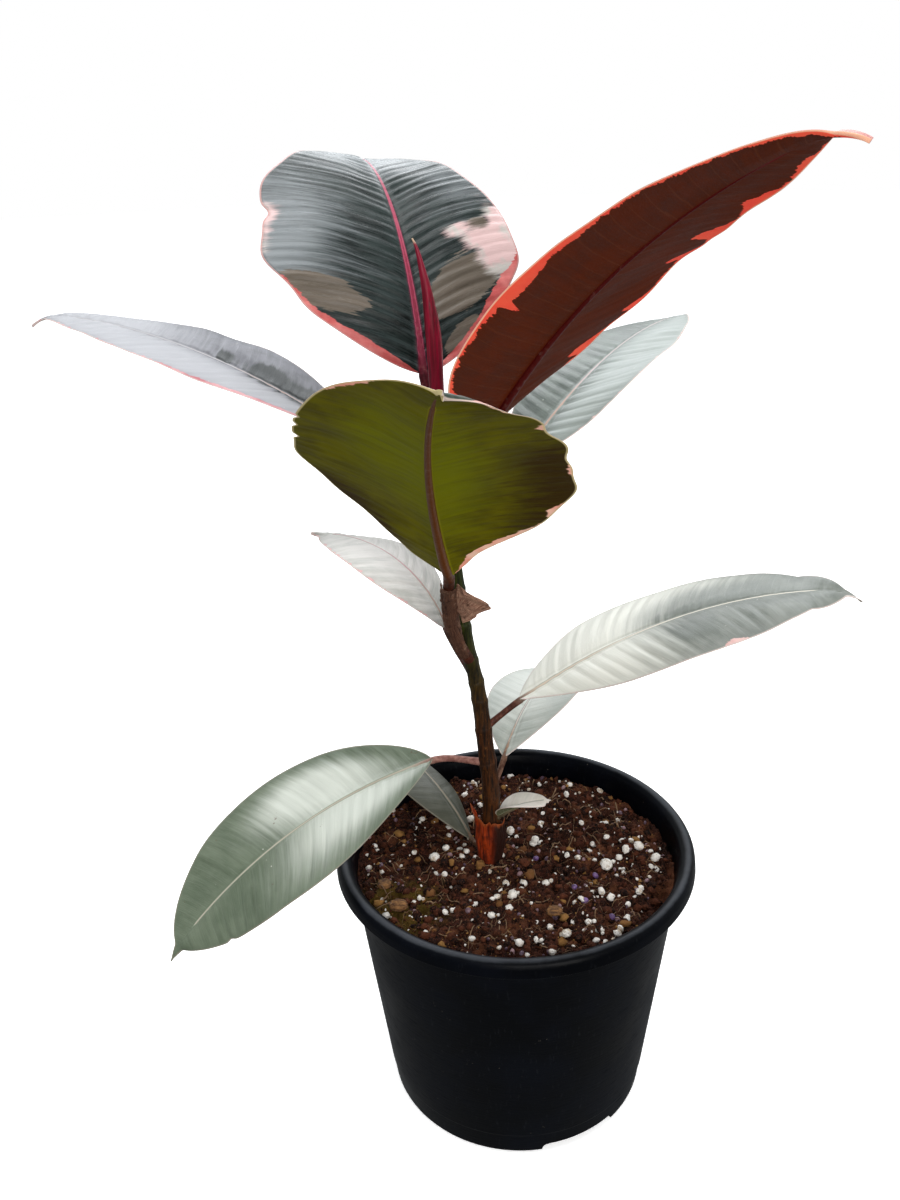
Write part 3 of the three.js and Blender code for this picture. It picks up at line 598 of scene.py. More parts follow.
def smooth_path(points, count):
    """A curve through points as count places along it. Each stretch is a cubic whose slope at a point is
    half the step between that point's two neighbours."""
    points = np.asarray(points, float)
    padded = np.concatenate([2 * points[:1] - points[1:2], points, 2 * points[-1:] - points[-2:-1]])
    slope = (padded[2:] - padded[:-2]) / 2
    t = np.linspace(0, len(points) - 1, count)
    k = np.minimum(t.astype(int), len(points) - 2)
    f = (t - k)[:, None]
    start, stop, leave, arrive = points[k], points[k + 1], slope[k], slope[k + 1]
    return ((2 * f ** 3 - 3 * f ** 2 + 1) * start + (f ** 3 - 2 * f ** 2 + f) * leave
            + (3 * f ** 2 - 2 * f ** 3) * stop + (f ** 3 - f ** 2) * arrive)


def unit(vectors):
    """Vectors scaled to length 1."""
    return vectors / np.maximum(np.linalg.norm(vectors, axis=-1, keepdims=True), 1e-12)


def rod_rings(path, radius, sides, aside):
    """Rings of points round a path: each stands at its radius, square to the path, and starts from the
    direction aside made square to the path. radius is one number for a place or one for each place and
    angle."""
    ahead = unit(np.gradient(path, axis=0))
    across = unit(aside - (aside * ahead).sum(-1, keepdims=True) * ahead)
    above = np.cross(across, ahead)
    angle = np.arange(sides) * 2 * np.pi / sides
    radius = np.broadcast_to(np.asarray(radius, float).reshape(len(path), -1), (len(path), sides))
    spoke = np.cos(angle)[:, None] * across[:, None] + np.sin(angle)[:, None] * above[:, None]
    return path[:, None] + radius[..., None] * spoke


def rod_faces(rings, sides):
    """Quads between the rings and one face over each end."""
    last = (rings - 1) * sides
    return ring_faces(rings, sides).tolist() + [list(range(sides)), list(range(last, last + sides))]


STEM_RINGS = 520
STEM_SIDES = 48
stem_line = smooth_path(STEM, STEM_RINGS)
stem_path = np.insert(stem_line[:, :2], 1, 0, axis=1)
angle = np.arange(STEM_SIDES) * 2 * np.pi / STEM_SIDES
height = stem_line[:, 1:2]
around = angle[None]
swell = 0
for k, level in enumerate(NODES):
    slant = level + 0.0007 * np.cos(around - 1.9 * k)
    swell = swell + 0.00034 * np.exp(-((height - slant) / 0.0021) ** 2)
    swell = swell - 0.00014 * np.exp(-((height - slant - 0.0012) / 0.00045) ** 2)
woody = np.clip((0.20 - height) / 0.07, 0.15, 1)
ridges = 0.00010 * np.sin(7 * around + 60 * height) + 0.00007 * np.sin(13 * around - 90 * height + 1)
knobs = 0.00012 * drift(around * 4.5 / np.pi + 9, height / 0.0022, 51)
knobs = knobs + 0.00006 * drift(around * 9 / np.pi, height / 0.0011, 52)
stem_radius = stem_line[:, 2:3] + swell + woody * (ridges + knobs)
stem_rings = rod_rings(stem_path, stem_radius, STEM_SIDES, np.array([1.0, 0, 0]))

woody_bark = Finish("stem_bark")
place = woody_bark.place()
level = woody_bark.split(place)[2]
streaks = woody_bark.noise(woody_bark.stretch(place, (900.0, 900.0, 90.0)), 1.0, 5.0, 0.65)
flecks = woody_bark.noise(woody_bark.stretch(place, (1.0, 1.0, 0.45)), 1500.0, 3.0)
woody_bark.shade = woody_bark.mix(woody_bark.span(streaks, 0.34, 0.68), "#160902", "#532c0d")
woody_bark.layer("#855625", flecks, 0.6, 0.74, 0.5)
green = woody_bark.mix(woody_bark.span(streaks, 0.35, 0.7), "#161a04", "#343c0e")
wine = woody_bark.mix(woody_bark.span(streaks, 0.35, 0.7), "#240809", "#47130f")
grown = woody_bark.sum(level, woody_bark.times(streaks, 0.03))
woody_bark.layer(green, grown, 0.198, 0.262)
woody_bark.layer(wine, grown, 0.295, 0.345)
stem_look = woody_bark.surface(
    roughness=woody_bark.span(level, 0.16, 0.24, 0.62, 0.42), specular_level=0.22,
    normal=woody_bark.bump(woody_bark.sum(streaks, woody_bark.times(flecks, 0.5)), 0.0003),
)
stem = make_piece("woody_stem", stem_rings, rod_faces(STEM_RINGS, STEM_SIDES), [stem_look])
weld(stem)
stand_for(stem, "stem_bark", "main_stem")

# ---------------------------------------------------------------- leaves
# Thick leathery blades that grew in one piece with their midribs and stalks. Each is a closed shell,
# corrugated by its side veins, thin at the margin and marbled in green, grey and pink, with a rod for the
# stalk and midrib. Pale streaks of painted sheen and dark patches of painted shade lie over the marbling.

# The sheen colours and spots below are painted sheen: pale streaks and patches where the waxy blade would
# catch the light. The shadow colours and spots are painted shade.
GREY_TOP = dict(
    base="#9aa49b", deep="#808c84", line="#b9c1ba", wash="#d3d6d0", patch="#aeb6ae", patch_deep="#98a39b",
    rim="#dfbcb6", rim_deep="#cf9b96", edge="#d9c9c2", rib="#c4aea8", rib_side="#8a8d84", specks=0.9,
    bloom="#d6dbd4", comb=0.15, lines=0.2,
)
GREY_UNDER = dict(
    base="#a9ae96", deep="#8f977d", line="#c2c5ac", wash="#cfceb8", patch="#b9bda4", patch_deep="#a5ab90",
    rim="#e3c3b4", rim_deep="#d5a596", edge="#dccbb9", rib="#b7a184", rib_side="#a6a98f", bloom="#bfc3a9",
)
DARK_TOP = dict(
    base="#1f2b29", deep="#101817", line="#3d4a49", wash="#dcbcba", patch="#5f564b", patch_deep="#6d6358",
    rim="#c25654", rim_deep="#dc7f7b", edge="#e6b3ae", rib="#a8405a", rib_side="#46242f", lines=0.2,
    bloom="#858b8e", wash_deep="#c3beb8", comb=0.6, rib_reach=0.95,
)
LEAVES = {
    "leaf_top_back": dict(
        node=0.322, stalk=0.026, stalk_azimuth=123, stalk_rise=60, stalk_radius=0.0019, length=0.14,
        width=0.101, azimuth=109, sweep=2, rise=72, end_rise=-10, bend=1.27, roll=1, twist=-4,
        fold_left=(7, 9), fold_right=(4, 5), cup=-8, shoulder=(0.86, 0.78), fullness=(0.81, 0.68),
        neck=0.13, tip_drop=14, skew=0.07, vein_gap=0.0046, relief=0.00066, band=(-0.003, -0.003),
        gloss=0.27, shine=0.26, curl=-0.26,
        trims=(
            (0, 0.505, 0.0026, 0.022), (0, 0.61, -0.0032, 0.08), (0, 0.35, -0.0042, 0.07),
            (0, 0.2, -0.0022, 0.05), (1, 0.63, 0.0024, 0.09), (1, 0.31, -0.0026, 0.06),
        ),
        waves=((0, 1.6, 0.0022, 0), (1, 1.3, 0.0018, 0.35)), slant=0.58,
        bloom_spots=(
            (-0.85, 0.5, 0.45, 0.18, 0.85), (-0.9, 0.33, 0.3, 0.09, 0.6), (0, 0.82, 1.5, 0.15, 0.95),
            (0.75, 0.62, 0.4, 0.14, 0.6), (0, 0.5, 1.3, 0.4, 0.06),
        ),
        patch_spots=(
            (-0.78, 0.245, 0.33, 0.05, 1.4), (0.5, 0.25, 0.36, 0.075, 1.4), (0.68, 0.1, 0.2, 0.03, 1.3),
            (0.72, 0.43, 0.12, 0.03, 1.2),
        ),
        wash_spots=(
            (0.5, 0.415, 0.16, 0.024, 0.9), (0.64, 0.385, 0.16, 0.026, 0.9),
            (0.78, 0.345, 0.18, 0.035, 1.1), (0.92, 0.31, 0.2, 0.045, 1.3), (0.95, 0.43, 0.15, 0.09, 1.3),
            (-0.99, 0.5, 0.1, 0.05, 0.75), (-1, 0.41, 0.08, 0.08, 0.6),
        ),
        rim_spots=(
            (-1, 0.14, 0.5, 0.16, 1.15), (-0.9, 0.05, 0.5, 0.05, 1.1), (1, 0.2, 0.4, 0.13, 2.1),
            (1, 0.05, 0.4, 0.06, 1),
        ),
        upper=DARK_TOP,
        lower=dict(
            base="#5a3a2c", deep="#46281d", line="#6d4736", wash="#a07a68", patch="#77584a",
            patch_deep="#6a4a3d", bloom="#6d4736", rim="#e8604a", rim_deep="#f0866f", edge="#f0c4a8",
            rib="#6d1f22", rib_side="#4a2118",
        ),
        stalk_paint=("#5a1420", "#3c0d14", "#8d2f45"),
    ),
    "leaf_upper_right": dict(
        node=0.309, stalk=0.026, stalk_azimuth=-44, stalk_rise=37, stalk_radius=0.0019, length=0.183,
        width=0.077, azimuth=-52, sweep=14, rise=50, end_rise=19, bend=1.5, roll=-15, twist=17,
        fold_left=(2, -14), fold_right=(13, 15), cup=-2, shoulder=(0.85, 0.83), fullness=(0.72, 0.64),
        neck=0.01, tip_drop=45, skew=-0.01, vein_gap=0.0062, relief=0.00016, band=(0.0013, 0.0018),
        gloss=0.36, tip=0.15,
        trims=(
            (1, 0.76, -0.0038, 0.08), (1, 0.24, -0.0018, 0.08), (0, 0.71, 0.0042, 0.06),
            (0, 0.59, 0.0014, 0.03), (0, 0.31, 0.0032, 0.06), (0, 0.55, -0.0022, 0.04),
        ),
        waves=((0, 2.2, 0.0016, 0.1), (1, 1.7, 0.001, 0.5)),
        rim_spots=(
            (-1, 0.25, 0.8, 0.026, 1.4), (-1, 0.12, 0.6, 0.03, 0.4), (-1, 0.39, 0.6, 0.018, 1),
            (-1, 0.54, 0.8, 0.022, 1.6), (-1, 0.635, 0.9, 0.028, 2), (-1, 0.75, 0.6, 0.028, 1.1),
            (-1, 0.87, 0.6, 0.03, 0.6), (1, 0.49, 0.4, 0.06, 1.1), (0.75, 0.42, 0.3, 0.006, 1.7),
            (1, 0.6, 0.4, 0.05, 0.4), (1, 0.95, 0.5, 0.04, 0.5), (1, 0.12, 0.5, 0.05, 0.5),
        ),
        upper=DARK_TOP,
        lower=dict(
            base="#511b04", deep="#451602", line="#65331c", wash="#6d4030", bloom="#5c2a14",
            patch="#4b2a1a", patch_deep="#3f2013", rim="#ff5f45", rim_deep="#fb5240", edge="#f7c9a8",
            rib="#5e0806", rib_side="#4a1408", lines=0.35, rib_reach=0.9,
        ),
        glow=0.3, stalk_paint=("#5a1018", "#3a0a10", "#560f0d"),
    ),
    "leaf_front": dict(
        node=0.223, stalk=0.057, stalk_azimuth=-104, stalk_rise=61, stalk_radius=0.0022,
        stalk_bow=(0.007, 0.003), length=0.163, width=0.095, azimuth=-97, sweep=20, rise=49, end_rise=28,
        bend=1.4, roll=5, twist=8, fold_left=(22, 14), fold_right=(22, 19), cup=-14,
        shoulder=(0.96, 0.93), fullness=(0.78, 0.59), neck=0.35, tip_drop=23, skew=-0.01, vein_gap=0.0048,
        relief=0.00026, band=(-0.003, -0.003), gloss=0.4, rib_end=0.0008, curl=-0.12,
        trims=(
            (1, 0.505, 0.0018, 0.01), (1, 0.57, 0.0014, 0.01), (1, 0.62, 0.0012, 0.008),
            (1, 0.38, -0.0045, 0.07), (1, 0.26, -0.0018, 0.05), (1, 0.9, 0.002, 0.06),
            (0, 0.68, 0.0036, 0.06), (0, 0.55, 0.0018, 0.03), (0, 0.4, -0.0032, 0.05),
            (0, 0.12, 0.0052, 0.07), (1, 0.05, -0.0042, 0.04),
        ),
        waves=((0, 1.5, 0.002, 0.3), (1, 1.2, 0.0015, 0)),
        rim_spots=(
            (1, 0.82, 0.3, 0.1, 0.9), (-1, 0.9, 0.3, 0.06, 0.9), (-1, 0.72, 0.25, 0.03, 1),
            (-1, 0.5, 0.2, 0.04, 0.8), (-1, 0.33, 0.2, 0.03, 0.9), (-1, 0.11, 0.5, 0.12, 1.6),
        ),
        wash_spots=((-1, 0.45, 0.55, 0.3, 0.85), (1, 0.22, 0.45, 0.16, 0.75)), slant=0.34,
        bloom_spots=((-0.15, 0.5, 0.35, 0.4, 0.7), (0.4, 0.6, 0.4, 0.3, 0.6)),
        upper=dict(
            base="#46564b", deep="#2f3e35", line="#667469", wash="#c4c3bd", patch="#7b8274",
            patch_deep="#6c7466", bloom="#9aa39f", rim="#e0a09a", rim_deep="#ecc4bd", edge="#ead4c8",
            rib="#b0566a", rib_side="#4a3a36",
        ),
        lower=dict(
            base="#5a5502", deep="#433d04", line="#6c6a12", wash="#33250a", patch="#4d4a10",
            patch_deep="#45400f", bloom="#676b00", rib_reach=0.9, rim="#f3c3ac", rim_deep="#e89a84",
            edge="#c9b98a", rib="#6b3a14", rib_side="#6f6c10", lines=0.3,
        ),
        glow=0.32, stalk_paint=("#5c3122", "#3c1f16", "#6b3a16"),
    ),
    "leaf_left": dict(
        node=0.289, stalk=0.039, stalk_azimuth=158, stalk_rise=36, stalk_radius=0.0017, length=0.177,
        width=0.064, azimuth=161, sweep=1, rise=31, end_rise=0, bend=1.21, roll=-5, twist=10,
        fold_left=(14, 4), fold_right=(9, -2), cup=-9, shoulder=(0.96, 0.95), fullness=(0.7, 0.74),
        neck=0.08, tip_drop=37, skew=-0.01, vein_gap=0.007, relief=0.00055, band=(0.0004, -0.002),
        gloss=0.38, shine=0.15, tip=0.15, waves=((0, 1.4, 0.0012, 0.2), (1, 1.6, 0.001, 0.6)),
        rim_spots=((-1, 0.2, 0.12, 0.2, 1.1), (0, 1, 1, 0.02, 1.2)),
        bloom_spots=((-0.6, 0.5, 0.5, 0.6, 1.2), (0.5, 0.85, 0.9, 0.28, 1.1)), billow=0.0014,
        shadow_spots=(
            (0.2, 0.15, 0.4, 0.15, 2), (0.18, 0.34, 0.28, 0.045, 1.6), (0.16, 0.45, 0.2, 0.03, 1.2),
        ),
        upper=dict(
            GREY_TOP, base="#77787f", deep="#57585f", line="#95969c", rim="#cf9498", rim_deep="#b5686f",
            bloom="#a7a8ad", shadow="#2b302f", rib="#a9a5a6", rib_side="#8a898e",
        ),
        stalk_paint=("#6d4a44", "#4a2c28", "#b79a8c"),
    ),
    "leaf_back_right": dict(
        node=0.275, stalk=0.045, stalk_azimuth=46, stalk_rise=35, stalk_radius=0.0017, length=0.149,
        width=0.06, azimuth=49, sweep=5, rise=36, end_rise=-7, bend=1.29, roll=4, twist=6,
        fold_left=(9, 0), fold_right=(9, 2), cup=-8, shoulder=(0.95, 0.92), fullness=(0.74, 0.74),
        neck=0.03, tip_drop=7, skew=0.02, vein_gap=0.0064, relief=0.00042, band=(-0.001, 0.0002),
        gloss=0.34, waves=((0, 1.5, 0.001, 0.1), (1, 2.1, 0.001, 0.4)),
        bloom_spots=((0.6, 0.5, 0.6, 0.6, 1.1),),
        upper=dict(
            GREY_TOP, base="#626d65", deep="#465049", line="#848d87", bloom="#9ba39f", rib="#b39a9c",
        ),
        stalk_paint=("#6d4a44", "#4a2c28", "#b79a8c"),
    ),
    "leaf_back_left": dict(
        node=0.213, stalk=0.027, stalk_azimuth=155, stalk_rise=59, stalk_radius=0.0015, length=0.079,
        width=0.062, azimuth=156, sweep=6, rise=69, end_rise=-15, bend=1.07, roll=-12, twist=5,
        fold_left=(7, -1), fold_right=(3, -10), cup=-9, shoulder=(0.94, 0.93), fullness=(0.78, 0.76),
        neck=0.19, tip_drop=-20, skew=-0.01, vein_gap=0.0052, relief=0.00028, band=(0.0008, 0.0002),
        gloss=0.36, tip=0.22, point=1, wash_spots=((0, 0.5, 1.2, 0.5, 0.7),),
        upper=dict(
            GREY_TOP, base="#c6c3bd", deep="#aeada6", wash="#d4d0cb", rib="#d08f96", rim="#d9a3a3",
            rim_deep="#cf8f90",
        ),
        stalk_paint=("#6d4a44", "#4a2c28", "#b79a8c"),
    ),
    "leaf_lower_right": dict(
        node=0.189, stalk=0.021, stalk_azimuth=16, stalk_rise=35, stalk_radius=0.0014, length=0.157,
        width=0.066, azimuth=14, sweep=-20, rise=32, end_rise=-1, bend=1.29, roll=-6, twist=1,
        fold_left=(10, 5), fold_right=(5, 17), cup=-24, shoulder=(0.92, 1.09), fullness=(0.73, 0.69),
        neck=0.17, tip_drop=40, skew=0.02, vein_gap=0.0066, relief=0.00042, band=(-0.001, -0.0004),
        gloss=0.34, tip=0.36, point=1.15, tip_turn=-42, waves=((0, 1.6, 0.0012, 0), (1, 2, 0.0012, 0.3)),
        rim_spots=((1, 0.615, 0.14, 0.032, 0.8),),
        bloom_spots=((0, 0.12, 1.6, 0.28, 1.3), (-0.8, 0.5, 0.35, 0.3, 0.5)),
        shadow_spots=(
            (0.45, 0.52, 0.4, 0.1, 0.95), (-0.12, 0.6, 0.12, 0.22, 0.8), (0.3, 0.72, 0.3, 0.05, 0.6),
        ),
        upper=dict(
            GREY_TOP, base="#797e77", deep="#656b64", line="#979c95", bloom="#ebebe0", rib="#d9cfbf",
            rib_side="#b0afa2",
        ),
        stalk_paint=("#6a3d30", "#43251c", "#d8c8b4"),
    ),
    "leaf_lower_back": dict(
        node=0.155, stalk=0.018, stalk_azimuth=62, stalk_rise=42, stalk_radius=0.0013, length=0.096,
        width=0.046, azimuth=71, sweep=-11, rise=34, end_rise=-31, bend=0.94, roll=8, twist=-4,
        fold_left=(7, 3), fold_right=(12, 9), cup=-7, shoulder=(1.01, 0.99), fullness=(0.76, 0.7),
        neck=0.15, tip_drop=4, skew=-0.01, vein_gap=0.0058, relief=0.0002, band=(-0.001, -0.001),
        gloss=0.36, bloom_spots=((0, 0.6, 1.5, 0.4, 0.8),),
        upper=dict(GREY_TOP, base="#b0b4ac", deep="#9ca29a", rib="#c4b8b0", bloom="#e6e9e2"),
        stalk_paint=("#7a5a4a", "#4d3226", "#b0937c"),
    ),
    "leaf_lower_left": dict(
        node=0.172, stalk=0.025, stalk_azimuth=177, stalk_rise=0, stalk_radius=0.0015, length=0.15,
        width=0.065, azimuth=195, sweep=14, rise=-11, end_rise=-49, bend=0.94, roll=7, twist=11,
        fold_left=(6, -7), fold_right=(10, 11), cup=-1, shoulder=(0.92, 0.91), fullness=(0.65, 0.61),
        neck=0.16, tip_drop=11, skew=0.02, vein_gap=0.0068, relief=0.00046, band=(-0.001, -0.001),
        gloss=0.35, tip=0.3, point=1.05, trims=((0, 0.8, 0.0012, 0.012),),
        waves=((0, 1.8, 0.0012, 0.2), (1, 1.4, 0.001, 0.1)),
        bloom_spots=(
            (0.45, 0.36, 0.4, 0.2, 1.15), (-0.3, 0.26, 0.4, 0.26, 0.95), (-0.8, 0.4, 0.4, 0.3, 0.2),
        ),
        shadow_spots=((-0.5, 0.7, 0.4, 0.08, 0.5), (0.6, 0.1, 0.6, 0.06, 0.5)),
        upper=dict(
            GREY_TOP, base="#6c7864", deep="#5c6955", line="#869080", rib="#bdb3a3", rib_side="#8f9986",
            edge="#8f8a7a", spots=0.5, bloom="#dde2d8", shadow="#4a5743",
        ),
        stalk_paint=("#a3756a", "#7c5149", "#b3a898"),
    ),
    "leaf_small_low": dict(
        node=0.125, stalk=0.0123, stalk_azimuth=138, stalk_rise=-3.6, stalk_radius=0.0012, length=0.084,
        width=0.036, azimuth=132, sweep=-6, rise=44, end_rise=-28, bend=1.12, roll=-23, twist=13,
        fold_left=(6, -4), fold_right=(-7, -11), cup=-25, shoulder=(0.99, 0.98), fullness=(0.73, 0.75),
        neck=0.1, tip_drop=6, skew=0.02, vein_gap=0.0056, relief=0.00018, band=(-0.001, -0.001),
        gloss=0.42,
        upper=dict(
            GREY_TOP, base="#4c4d41", deep="#3b3d31", line="#606153", rib="#8a7a68", rib_side="#6d6e60",
            edge="#7a7566",
        ),
        stalk_paint=("#5a4030", "#3a2a20", "#8a7a68"),
    ),
    "leaf_torn": dict(
        node=0.14, stalk=0.006, stalk_azimuth=-25, stalk_rise=45, stalk_radius=0.0012, length=0.026,
        width=0.018, azimuth=-8, sweep=20, rise=48, end_rise=-5, bend=0.8, roll=0, twist=10,
        fold_left=(25, 5), fold_right=(60, -5), cup=-10, shoulder=(0.85, 0.85), fullness=(0.6, 0.35),
        neck=0, tip_drop=0, skew=0, vein_gap=0.005, relief=0.00008, band=(-0.001, -0.001), gloss=0.45,
        trims=((0, 0.93, 0.002, 0.03), (1, 0.9, 0.002, 0.03)),
        upper=dict(GREY_TOP, base="#f1ebe2", deep="#ded6ca", rib="#cfc6b8"),
        lower=dict(GREY_UNDER, base="#6f7052", deep="#5a5c40"),
        stalk_paint=("#4a3a24", "#33281a", "#7a7058"),
    ),
}
STATIONS = 241
COLUMNS = 81
RIB_STEPS = 2000
ROD_SIDES = 20
BLADE_HALF = 0.00044       # half the blade's thickness beside the midrib
CREASE_DEPTH = 0.00030
VEIN_SLANT = 0.28          # how far forward a side vein runs for each step away from the midrib
VEIN_CURL = 0.16           # how much further forward it has turned at the margin


def toward(azimuth, rise):
    """The unit vector with this azimuth and rise."""
    around, up = np.radians(azimuth), np.radians(rise)
    flat = np.cos(up)
    return np.stack([flat * np.cos(around), flat * np.sin(around), np.sin(up) + 0 * around], axis=-1)


def blade_heading(leaf, s):
    """The blade's direction at s, from 0 at its base to 1 at its tip: the azimuth turns evenly by the
    sweep, the rise goes to the end rise as s to the power bend, and the last eighth drops by the tip
    drop."""
    drop = leaf["tip_drop"] * (np.clip(s - 0.88, 0, None) / 0.12) ** 1.5
    rise = leaf["rise"] + (leaf["end_rise"] - leaf["rise"]) * s ** leaf["bend"] - drop
    return toward(leaf["azimuth"] + leaf["sweep"] * s, rise)


def stalk_ends(leaf):
    """Where the stalk leaves the stem's axis at its node, and where it meets the blade."""
    start = np.array([np.interp(leaf["node"], STEM[:, 1], STEM[:, 0]), 0, leaf["node"]])
    return start, start + leaf["stalk"] * toward(leaf["stalk_azimuth"], leaf["stalk_rise"])


def midrib(leaf, s):
    """Points on the midrib with the directions to its right and above it. The points add up the heading
    in many short steps, and the right-hand direction is the level one leant over by the roll, the twist
    and the tip turn."""
    fine = np.linspace(0, 1, RIB_STEPS + 1)
    steps = blade_heading(leaf, (fine[1:] + fine[:-1]) / 2) * leaf["length"] / RIB_STEPS
    line = stalk_ends(leaf)[1] + np.concatenate([np.zeros((1, 3)), np.cumsum(steps, axis=0)])
    points = np.stack([np.interp(s, fine, line[:, k]) for k in range(3)], axis=1)
    ahead = blade_heading(leaf, s)
    around = np.radians(leaf["azimuth"] + leaf["sweep"] * s)
    level = np.stack([np.sin(around), -np.cos(around), 0 * s], axis=1)
    turned = leaf.get("tip_turn", 0) * np.clip((s - 0.84) / 0.16, 0, 1)
    lean = np.radians(leaf["roll"] + leaf["twist"] * s + turned)[:, None]
    right = level * np.cos(lean) + np.cross(level, ahead) * np.sin(lean)
    return points, right, np.cross(right, ahead)


def half_width(leaf, s, half):
    """The width of one half of the blade: half the leaf's width times the sine of pi times s to the power
    shoulder, to the power fullness, drawn in at the neck, and blended into a narrow drip tip by the
    fourth root of the sum of fourth powers. Each trim takes a bell-shaped bite of its depth from one
    half's margin, or adds a bulge where its depth is below zero."""
    x = np.minimum(1, s / 0.95)
    fullness = leaf["fullness"][0] + (leaf["fullness"][1] - leaf["fullness"][0]) * s
    lens = np.clip(np.sin(np.pi * x ** leaf["shoulder"][half]), 0, 1) ** fullness
    lens = lens * (1 - leaf["neck"] * (1 - s) ** 6)
    tip = leaf.get("tip", 0.09) * np.minimum(1, (1 - s) / 0.2) ** leaf.get("point", 0.9) * (s > 0.6)
    share = 1 - leaf["skew"] if half else 1 + leaf["skew"]
    reach = leaf["width"] / 2 * (lens ** 4 + tip ** 4) ** 0.25 * share
    for side, place, depth, spread in leaf.get("trims", ()):
        if side == half:
            reach = reach - depth * np.exp(-((s - place) / spread) ** 2)
    return np.maximum(reach, 0.0009 * np.clip((1 - s) / 0.05, 0.35, 1))


def rib_radius(leaf, s):
    """The midrib's radius: it thins from the stalk's to the rib end's as (1 - s) to the power 1.5."""
    thinnest = leaf.get("rib_end", 0.00030)
    return thinnest + (leaf["stalk_radius"] * 0.92 - thinnest) * (1 - s) ** 1.5


def vein_place(leaf, s, y):
    """Where along the midrib the side vein through a spot leaves it: the spot's own place, less the slant
    times its distance y from the midrib, less the curl times y squared over the half width."""
    slant, curl = leaf.get("slant", VEIN_SLANT), leaf.get("curl", VEIN_CURL)
    return s * leaf["length"] - slant * y - curl * y * y / (leaf["width"] / 2)


def blotches(leaf, vein, v, kind):
    """The soft blotches of one kind, which run along the veins. Each spot is side position, place along,
    half widths across and along the blade, and strength, and adds its strength times a bell curve in both
    directions."""
    total = 0 * vein
    for across, along, wide, tall, strength in leaf.get(kind + "_spots", ()):
        reach = half_width(leaf, np.array([along]), int(across > 0))[0] * abs(across)
        past = (vein - vein_place(leaf, along, reach)) / leaf["length"]
        total = total + strength * np.exp(-((v - across) / wide) ** 2 - (past / tall) ** 2)
    return total


def join_shells(rows, columns):
    """The quads of a closed shell over two grids of rows and columns: the upper side, the lower side
    turned over, and a strip round all four edges."""
    top = np.arange(rows * columns).reshape(rows, columns)
    under = top + rows * columns
    a, b, c, d = top[:-1, :-1], top[:-1, 1:], top[1:, 1:], top[1:, :-1]
    sheets = [np.stack([a, b, c, d], -1).reshape(-1, 4)]
    a, b, c, d = under[:-1, :-1], under[:-1, 1:], under[1:, 1:], under[1:, :-1]
    sheets.append(np.stack([d, c, b, a], -1).reshape(-1, 4))
    rim = np.concatenate([top[0], top[1:, -1], top[-1, -2::-1], top[-2:0:-1, 0]])
    brim = rim + rows * columns
    sheets.append(np.stack([np.roll(rim, -1), rim, brim, np.roll(brim, -1)], -1))
    return sheets


def grid_normal(grid):
    """The unit normals of a grid of points, from the steps along its columns and rows."""
    return unit(np.cross(np.gradient(grid, axis=1), np.gradient(grid, axis=0)))


